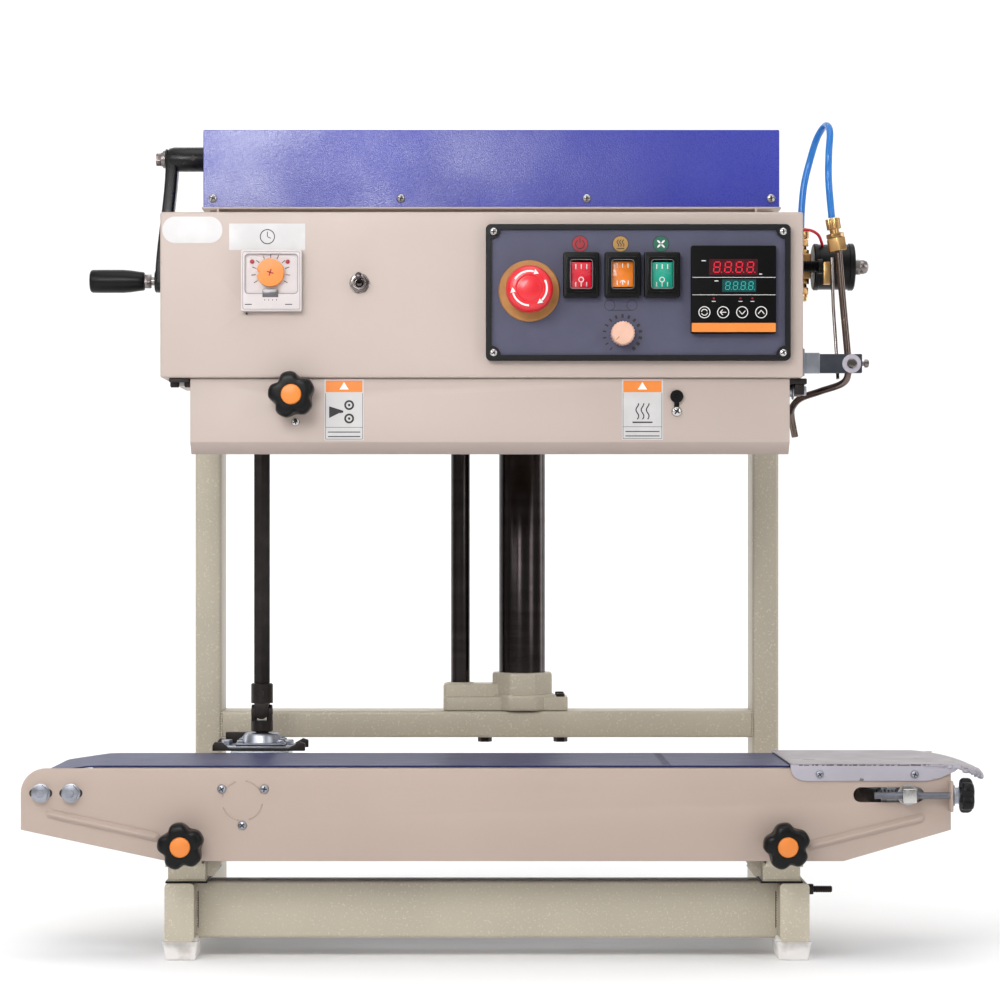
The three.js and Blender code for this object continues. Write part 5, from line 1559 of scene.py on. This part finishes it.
def temperature_controller():
    x0, x1, z0, z1, front = 172, 243.6, 534.4, 608.5, -14
    key_z = 552.2
    case = Shape().prism("y", rounded((x0, x1), (z0, z1), 1.6, 4), front, PANEL_FACE - 0.2, 0.8, 3)
    case.box((x0 + 3.4, x1 - 3.4), (-6, 60), (z0 + 3.4, z1 - 3.4), 0.6)
    place(case, "controller_case", "black_gloss", "head", ["temperature_controller"])
    y = front + 0.02
    red_glass, green_glass, red, green, white, leds = (Shape() for _ in range(6))
    decal(red_glass, rounded((187, 228), (583.4, 597), 0.6, 2), y, 0.3)
    digits(red, 189, 226.4, 584.4, 596, 4, y - 0.3, 0.95)
    decal(green_glass, rounded((198, 226.6), (569.4, 579.8), 0.5, 2), y, 0.3)
    digits(green, 199.6, 225.4, 570.2, 579, 4, y - 0.3, 0.7)
    for z in (581.6, 566.9):
        line(white, x0 + 1, z, x1 - 0.6, z, 0.35, y)
    for x, step in ((183.1, 0), (198.9, 1), (214.9, 2), (230.9, 3)):
        printed_ring(white, x, key_z, 4.4, 5.0, y, 0.2, 40)
        if step == 0:                             # set: two short arrows in a loop
            band_arc(white, x, key_z, 2.2, 2.8, 20, 170, y, 0.2, 12)
            band_arc(white, x, key_z, 2.2, 2.8, 200, 350, y, 0.2, 12)
        elif step == 1:
            for sign in (-1, 1):
                line(white, x - 2.6, key_z, x - 0.4, key_z + sign * 2.2, 0.6, y, 0.2)
            line(white, x - 2.6, key_z, x + 2.6, key_z, 0.6, y, 0.2)
        else:
            tip, base = (-1.7, 1.3) if step == 2 else (1.7, -1.3)
            for sign in (-1, 1):
                line(white, x, key_z + tip, x + sign * 2.6, key_z + base, 0.6, y, 0.2)
    for x in (191, 213.5, 223.5):
        decal(leds, circle(x, 563.9, 0.9, 16), y, 0.25)
        line(white, x - 1.6, 561.4, x + 1.6, 561.4, 0.5, y)
    for u, v, w in ((182.5, 595.6, 3.6), (193.2, 578.6, 3.2), (230.4, 584.4, 2.4)):
        line(white, u - w / 2, v, u + w / 2, v, 0.7, y)
    band = Shape()
    decal(band, rounded((x0 + 0.4, x1 - 0.4), (535.6, 543.2), 0.4, 2), y, 0.35)
    place(band, "controller_band", "orange", "head")
    place(red_glass, "display_window_red", "display_glass", "head")
    place(green_glass, "display_window_green", "display_glass_green", "head")
    place(red, "display_digits_red", "display_red", "head")
    place(green, "display_digits_green", "display_green", "head")
    place(white, "controller_print", "ink_white", "head")
    place(leds, "controller_leds", "ink_red_dim", "head")


def timer():
    x0, x1, z0, z1, front = -207.8, -156.4, 553.7, 605.4, -8
    dial_x, dial_z = -182.7, 585.9
    outer = Shape().prism("y", rounded((x0, x1), (z0, z1), 1.6, 4), front, -0.3, 0.8, 3)
    well = rounded((x0 + 3.2, x1 - 3.2), (z0 + 14.6, z1 - 3.2), 3, 5)
    recess = Shape().prism("y", well, front - 3, front + 1.6, 0)
    place(carve(outer, recess), "timer_frame", "white", "head", ["timer_body"])
    inside = Shape().box((x0 + 3.9, x1 - 3.9), (-0.4, 50), (z0 + 3.9, z1 - 3.9), 0.8)
    place(inside, "timer_housing", "black", "head")
    dial = Shape()
    outline = []
    for i in range(72):
        a = 2 * math.pi * i / 72
        notch = 3.0 * max(0.0, 1 - abs(a - math.pi) / 0.22)
        outline.append(polar(dial_x, dial_z, 11.8 - notch, a))
    dial.prism("y", outline, front - 5.6, front + 1.2, 0.7, 3)
    place(dial, "timer_dial_disc", "orange", "timer", ["timer_dial"])
    slot = Shape()
    for turn in (0.3, 0.3 + math.pi / 2):
        slot.box((dial_x - 3, dial_x + 3), (front - 5.75, front - 5.5), (dial_z - 0.5, dial_z + 0.5), 0, 1,
                 Matrix.Rotation(turn, 4, "Y"))
    place(slot, "timer_dial_slot", "ink_red", "timer")
    dark, leds = Shape(), Shape()
    for k in range(11):
        a = math.radians(210 - 24 * k)
        line(dark, *polar(dial_x, dial_z, 12.8, a), *polar(dial_x, dial_z, 16.4, a), 0.6, front + 1.6)
    lens = [(0, front + 1.7), (1.9, front + 1.7), (1.7, front + 0.7), (0, front + 0.3)]
    for x in (-198.4, -168.4):
        leds.turn("y", (x, 595.6), lens, 20)
    window = Shape().box((-189.6, -176.2), (front - 0.3, front + 0.2), (565.4, 572.2), 0.3)
    for k in range(4):
        line(dark, -187.6 + k * 3.3, 562.6, -187.6 + k * 3.3, 563.8, 0.5, front)
    for x in (-201.5, -167.5):
        line(dark, x - 3, 559.4, x + 3, 559.4, 0.7, front)
    # Painted shade: thin grey lines along the rim of the dial's well and near the frame's outer edge.
    grey = Shape()
    inner_edge = rounded((x0 + 3.4, x1 - 3.4), (z0 + 14.8, z1 - 3.4), 3, 4)
    outer_edge = rounded((x0 + 1.6, x1 - 1.6), (z0 + 1.6, z1 - 1.6), 1.2, 3)
    for edge, width in ((inner_edge, 0.6), (outer_edge, 0.5)):
        trace(grey, edge + edge[:1], width, front, 0.1)
    for x, z in ((x0 + 1.2, z1 - 1.4), (x0 + 4.4, z0 - 1.6)):
        dark.cylinder("y", (x, z), 0.9, -3, -0.2, 12)
    place(grey, "timer_edge_lines", "edge_grey", "head")
    place(window, "timer_window", "display_glass_grey", "head")
    place(dark, "timer_marks", "ink_and_shade_dark", "head")
    place(leds, "timer_leds", "ink_red", "head")


FILM, INK = 0.12, 0.08                        # thickness of a label and of the print on it


def labels():
    """Blank or pictogram labels where the machine carries printed ones."""
    film, dark, amber = Shape(), Shape(), Shape()
    guard_face = 5
    on_film = guard_face - FILM
    decal(film, rounded((-218.4, -154), (606.2, 628.5), 0.4, 2), 0, FILM)
    decal(film, rounded((-275, -224.2), (612, 634.4), 11, 10), 0, FILM)
    printed_ring(dark, -186, 617.4, 5.6, 6.4, -FILM, INK, 40)      # a clock face
    line(dark, -186, 617.4, -186, 621.6, 0.7, -FILM, INK)
    line(dark, -186, 617.4, -183.2, 616, 0.7, -FILM, INK)
    for x0, x1, z0, z1 in ((-138, -104.6, 443.9 + 1.2, 497), (114.5, 149.4, 444.4 + 1.2, 497)):
        decal(film, rounded((x0, x1), (z0, z1), 0.5, 2), guard_face, FILM)
        decal(amber, rounded((x0 + 1.2, x1 - 1.2), (z1 - 11, z1 - 1.2), 0.4, 2), on_film, INK)
        for line_z in (z0 + 3.2, z0 + 7.0):
            line(dark, x0 + 3, line_z, x1 - 3, line_z, 0.8, on_film, INK)
        for u0, v0, u1, v1 in ((x0 + 1, z0 + 11, x1 - 1, z0 + 11), (x0 + 1, z0 + 1, x1 - 1, z0 + 1),
                               (x0 + 1, z0 + 1, x0 + 1, z0 + 40), (x1 - 1, z0 + 1, x1 - 1, z0 + 40)):
            line(dark, u0, v0, u1, v1, 0.35, on_film, INK)
    # Left: two rollers drawing in. Right: heat rising from a plate.
    for u, v in ((-117, 475), (-117, 463.6)):
        printed_ring(dark, u, v, 2.6, 4.2, 4.88, 0.08, 30)
        decal(dark, circle(u, v, 1.1, 14), on_film, INK)
    hand = [(-134, 474), (-126, 471.5), (-122, 470.2), (-122, 468.6), (-126, 468), (-134, 464)]
    decal(dark, hand, on_film, INK)
    for dx in (-4.4, 0, 4.4):
        wave = [(132 + dx + 1.2 * math.sin(t * 0.8), 463 + t * 1.35) for t in range(11)]
        trace(dark, wave, 1.0, on_film, INK)
    line(dark, 123.5, 460.4, 140.5, 460.4, 1.2, on_film, INK)
    white = Shape()
    for cx in (-121.3, 131.9):
        decal(white, [(cx - 4, 488.2), (cx + 4, 488.2), (cx, 494.6)], 4.8, 0.08)
    place(film, "label_films", "label", "head")
    place(dark, "label_pictograms", "ink_and_shade_dark", "head")
    place(amber, "label_bands", "orange", "head")
    place(white, "label_triangles", "ink_white", "head")


# ---------------------------------------------------------------- head: gas flushing
NOZZLE_ROUTE = [(301.4, 30, 609), (305, 30, 567), (309.2, 30, 521), (310, 30, 506), (305.9, 34, 495.5),
                (287.7, 48, 489), (272.5, 62, 483.7), (266.2, 72, 475.9), (266.4, 78, 467.5),
                (269.7, 81, 451)]
WIRE_ROUTE = [(266, 60, 622), (272, 60, 628.5), (280, 62, 630), (288, 66, 626.5), (292, 72, 620),
              (293, 78, 616)]


def gas_valve():
    x, y, z = 275.3, 84, 600
    brass = Shape()
    brass.box((268.3, 283), (y - 10, y + 10), (z - 11, z + 11), 1.4, 3)
    for sign in (1, -1):
        base = z + sign * 10
        for u0, u1, r, sides in ((0, 5, 7.4, 6), (5, 8, 4.8, 32), (8, 14, 6.8, 6), (14, 17, 5.6, 32)):
            lo, hi = sorted((base + sign * u0, base + sign * u1))
            outline = polygon((x, y), r, 0.2, sides)
            brass.prism("z", outline, lo, hi, 0.5)
    nut = [(3.3, 625), (6.6, 625), (7, 626), (7, 631), (6.2, 633), (5, 634), (3.3, 634), (3.3, 625)]
    brass.turn("z", (x, y), nut, 40)
    brass.cylinder("z", (x, y), 5, 570, 584, 32, 0.4)
    brass.box((289.5, 295.5), (37, 42), (580.5, 600), 1.0)
    place(brass, "valve_body", "brass", "head", ["solenoid_valve"])
    coil = Shape()
    coil.turn("x", (y, z), [(0, 285.4), (19.2, 285.4), (20.4, 286.4), (20.4, 289.5), (19.8, 290), (19.8, 316),
                            (20.6, 316.6), (20.6, 320), (19.6, 321), (0, 321)], 80)
    coil.box((288, 316), (y - 4, y + 26), (z - 9, z + 9), 1.5)
    threads = [point for k in range(11) for point in ((4.3, 268.6 + k * 1.5), (5.0, 269.3 + k * 1.5))]
    coil.turn("x", (48, 597), [(0, 268.4), *threads, (4.3, 285.6), (6.4, 286), (6.4, 289.5), (0, 290)], 32)
    place(coil, "valve_coil", "black", "head")
    steel = Shape()
    thread = [(0, 281)]
    for k in range(9):
        thread += [(4.7, 281.2 + k * 1.25), (5.3, 281.8 + k * 1.25)]
    steel.turn("x", (y, z), thread + [(4.7, 293), (0, 293)], 40)
    steel.prism("x", polygon((y, z), 7.2, 0.25), 320.8, 327, 0.6)
    acorn = [(0, 326.5), (5.8, 326.5), (6.2, 327.4), (6.2, 330), (5.2, 332.6), (3, 334), (0, 334.4)]
    steel.turn("x", (y, z), acorn, 48)
    place(steel, "valve_acorn_nut", "nickel", "head")
    wire = Shape().sweep(smooth_path(WIRE_ROUTE), 1.3, 12)
    place(wire, "valve_wire", "wire_red", "head")


def gas_nozzle():
    cx, cy, pivot_z = 296.2, 30, 636
    pivot = Matrix.Translation((cx, cy, pivot_z))
    tilt = pivot @ Matrix.Rotation(math.radians(-9.6), 4, "Y") @ pivot.inverted()
    fitting = Shape()
    angles = (2 * math.pi * i / 90 for i in range(90))
    knurl = [polar(cx, cy, 5.9 + 0.25 * math.cos(18 * a), a) for a in angles]
    fitting.prism("z", knurl, 627, 636, 0.4, 2, tilt)
    fitting.cylinder("z", (cx, cy), 4, 622, 628, 32, lean=tilt)
    fitting.prism("z", polygon((cx, cy), 7.8), 619.4, 623.2, 0.6, 2, tilt)
    fitting.prism("z", polygon((cx, cy), 8.6, math.pi / 6), 607.8, 619.2, 0.9, 3, tilt)
    place(fitting, "nozzle_fitting", "brass", "head")
    nozzle = Shape().sweep(smooth_path(NOZZLE_ROUTE, 10), 3.0, 28, bore=2.2)
    place(nozzle, "nozzle_tube", "tube_steel", "head", ["gas_nozzle"], 60)
    rod = Shape().sweep([(297, 42, 604), (298.5, 41, 560), (301.6, 38, 508), (301.6, 36, 499)], 1.5, 16)
    place(rod, "nozzle_stay", "nickel", "head")

    bar = Shape().box((281, 320.3), (18.2, 26.3), (503.2, 519.4), 1.0, 3)
    place(bar, "nozzle_bar", "dark_zinc", "head")
    angle = Shape().box((268.4, 270.6), (12.5, 59.5), (500.4, 523.6), 0.6)
    angle.box((268.4, 284), (17, 19.4), (502.6, 520.4), 0.7)
    for ay in (40, 54):
        angle.turn("x", (ay, 512), [(0, 270.4), (4.2, 270.4), (3.8, 272.8), (2, 273.6), (0, 273.8)], 28)
    place(angle, "nozzle_angle", "zinc", "head", ["nozzle_bracket"])
    clamp_x = 311.2
    washer = Shape().turn("y", (clamp_x, 511), [(0, 18.3), (8, 18.3), (8, 17.2), (7.6, 16.8), (0, 16.8)], 56)
    place(washer, "nozzle_clamp_washer", "pale_grey", "head")
    clamp = Shape()
    clamp.turn("y", (clamp_x, 511), [(0, 17), (4.1, 17), (4.2, 15.4), (3.2, 14.2), (0, 13.8)], 40)
    side_screw = [(0, 320), (2, 320), (2, 322.4), (3.6, 322.8), (3.6, 325), (2.6, 326.2), (0, 326.6)]
    clamp.turn("x", (22, 511.4), side_screw, 28)
    place(clamp, "nozzle_clamp_screw", "nickel", "head")
    # Painted shade: a thin dark bar on the clamp screw's head stands for the shadow in its slot.
    slant = Matrix.Rotation(0.6, 4, "Y")
    clamp_slot_shade = Shape().box((clamp_x - 3.4, clamp_x + 3.4), (13.7, 14.3), (510.4, 511.6), 0, 1, slant)
    place(clamp_slot_shade, "nozzle_clamp_slot", "ink_and_shade_dark", "head")


def stand_seams():
    """Open joints beside the front cross tube."""
    gaps = Shape()
    for sign in (-1, 1):
        x = sign * 249.6
        gaps.box((x - 0.8, x + 0.8), (44.75, 45.4), (26, 58), 0.2)
    place(gaps, "stand_joint_gaps", "ink_and_shade_dark", "frame")


def carry_over():
    """CAD nodes whose own shape stays get a worked material."""
    plain = {
        "khaki_paint": "khaki", "beige_paint": "beige", "grey_paint": "grey", "blue_paint": "blue",
        "belt_blue": "belt", "black_plastic": "black", "white_rubber": "pad", "dark_chrome": "chrome",
        "zinc_steel": "zinc", "black_steel": "oxide", "brass": "brass", "aluminium": "aluminium",
        "ptfe": "ptfe", "hose_blue": "hose", "panel_black": "panel", "red_plastic": "red",
        "amber_plastic": "orange",
        "green_plastic": "rocker_green", "cream_plastic": "peach", "white_plastic": "white"}
    for row in frame["record"]["subparts"]:
        node = frame["nodes"][row["node"]]
        for material_slot in node.material_slots:
            material_slot.material = MAT[plain[row["material_slot"]]]


set_camera()
paper_backdrop()
light()
carry_over()
gas_hose()
stand()
column()
conveyor_frame()
conveyor_belt()
rollers()
brackets_and_clamps()
tensioner()
infeed_cover()
drive_line()
control_box()
head_housings()
sealing()
inner_drive()
crank()
panel()
emergency_stop()
rockers()
speed_knob()
temperature_controller()
timer()
labels()
gas_valve()
gas_nozzle()
stand_seams()
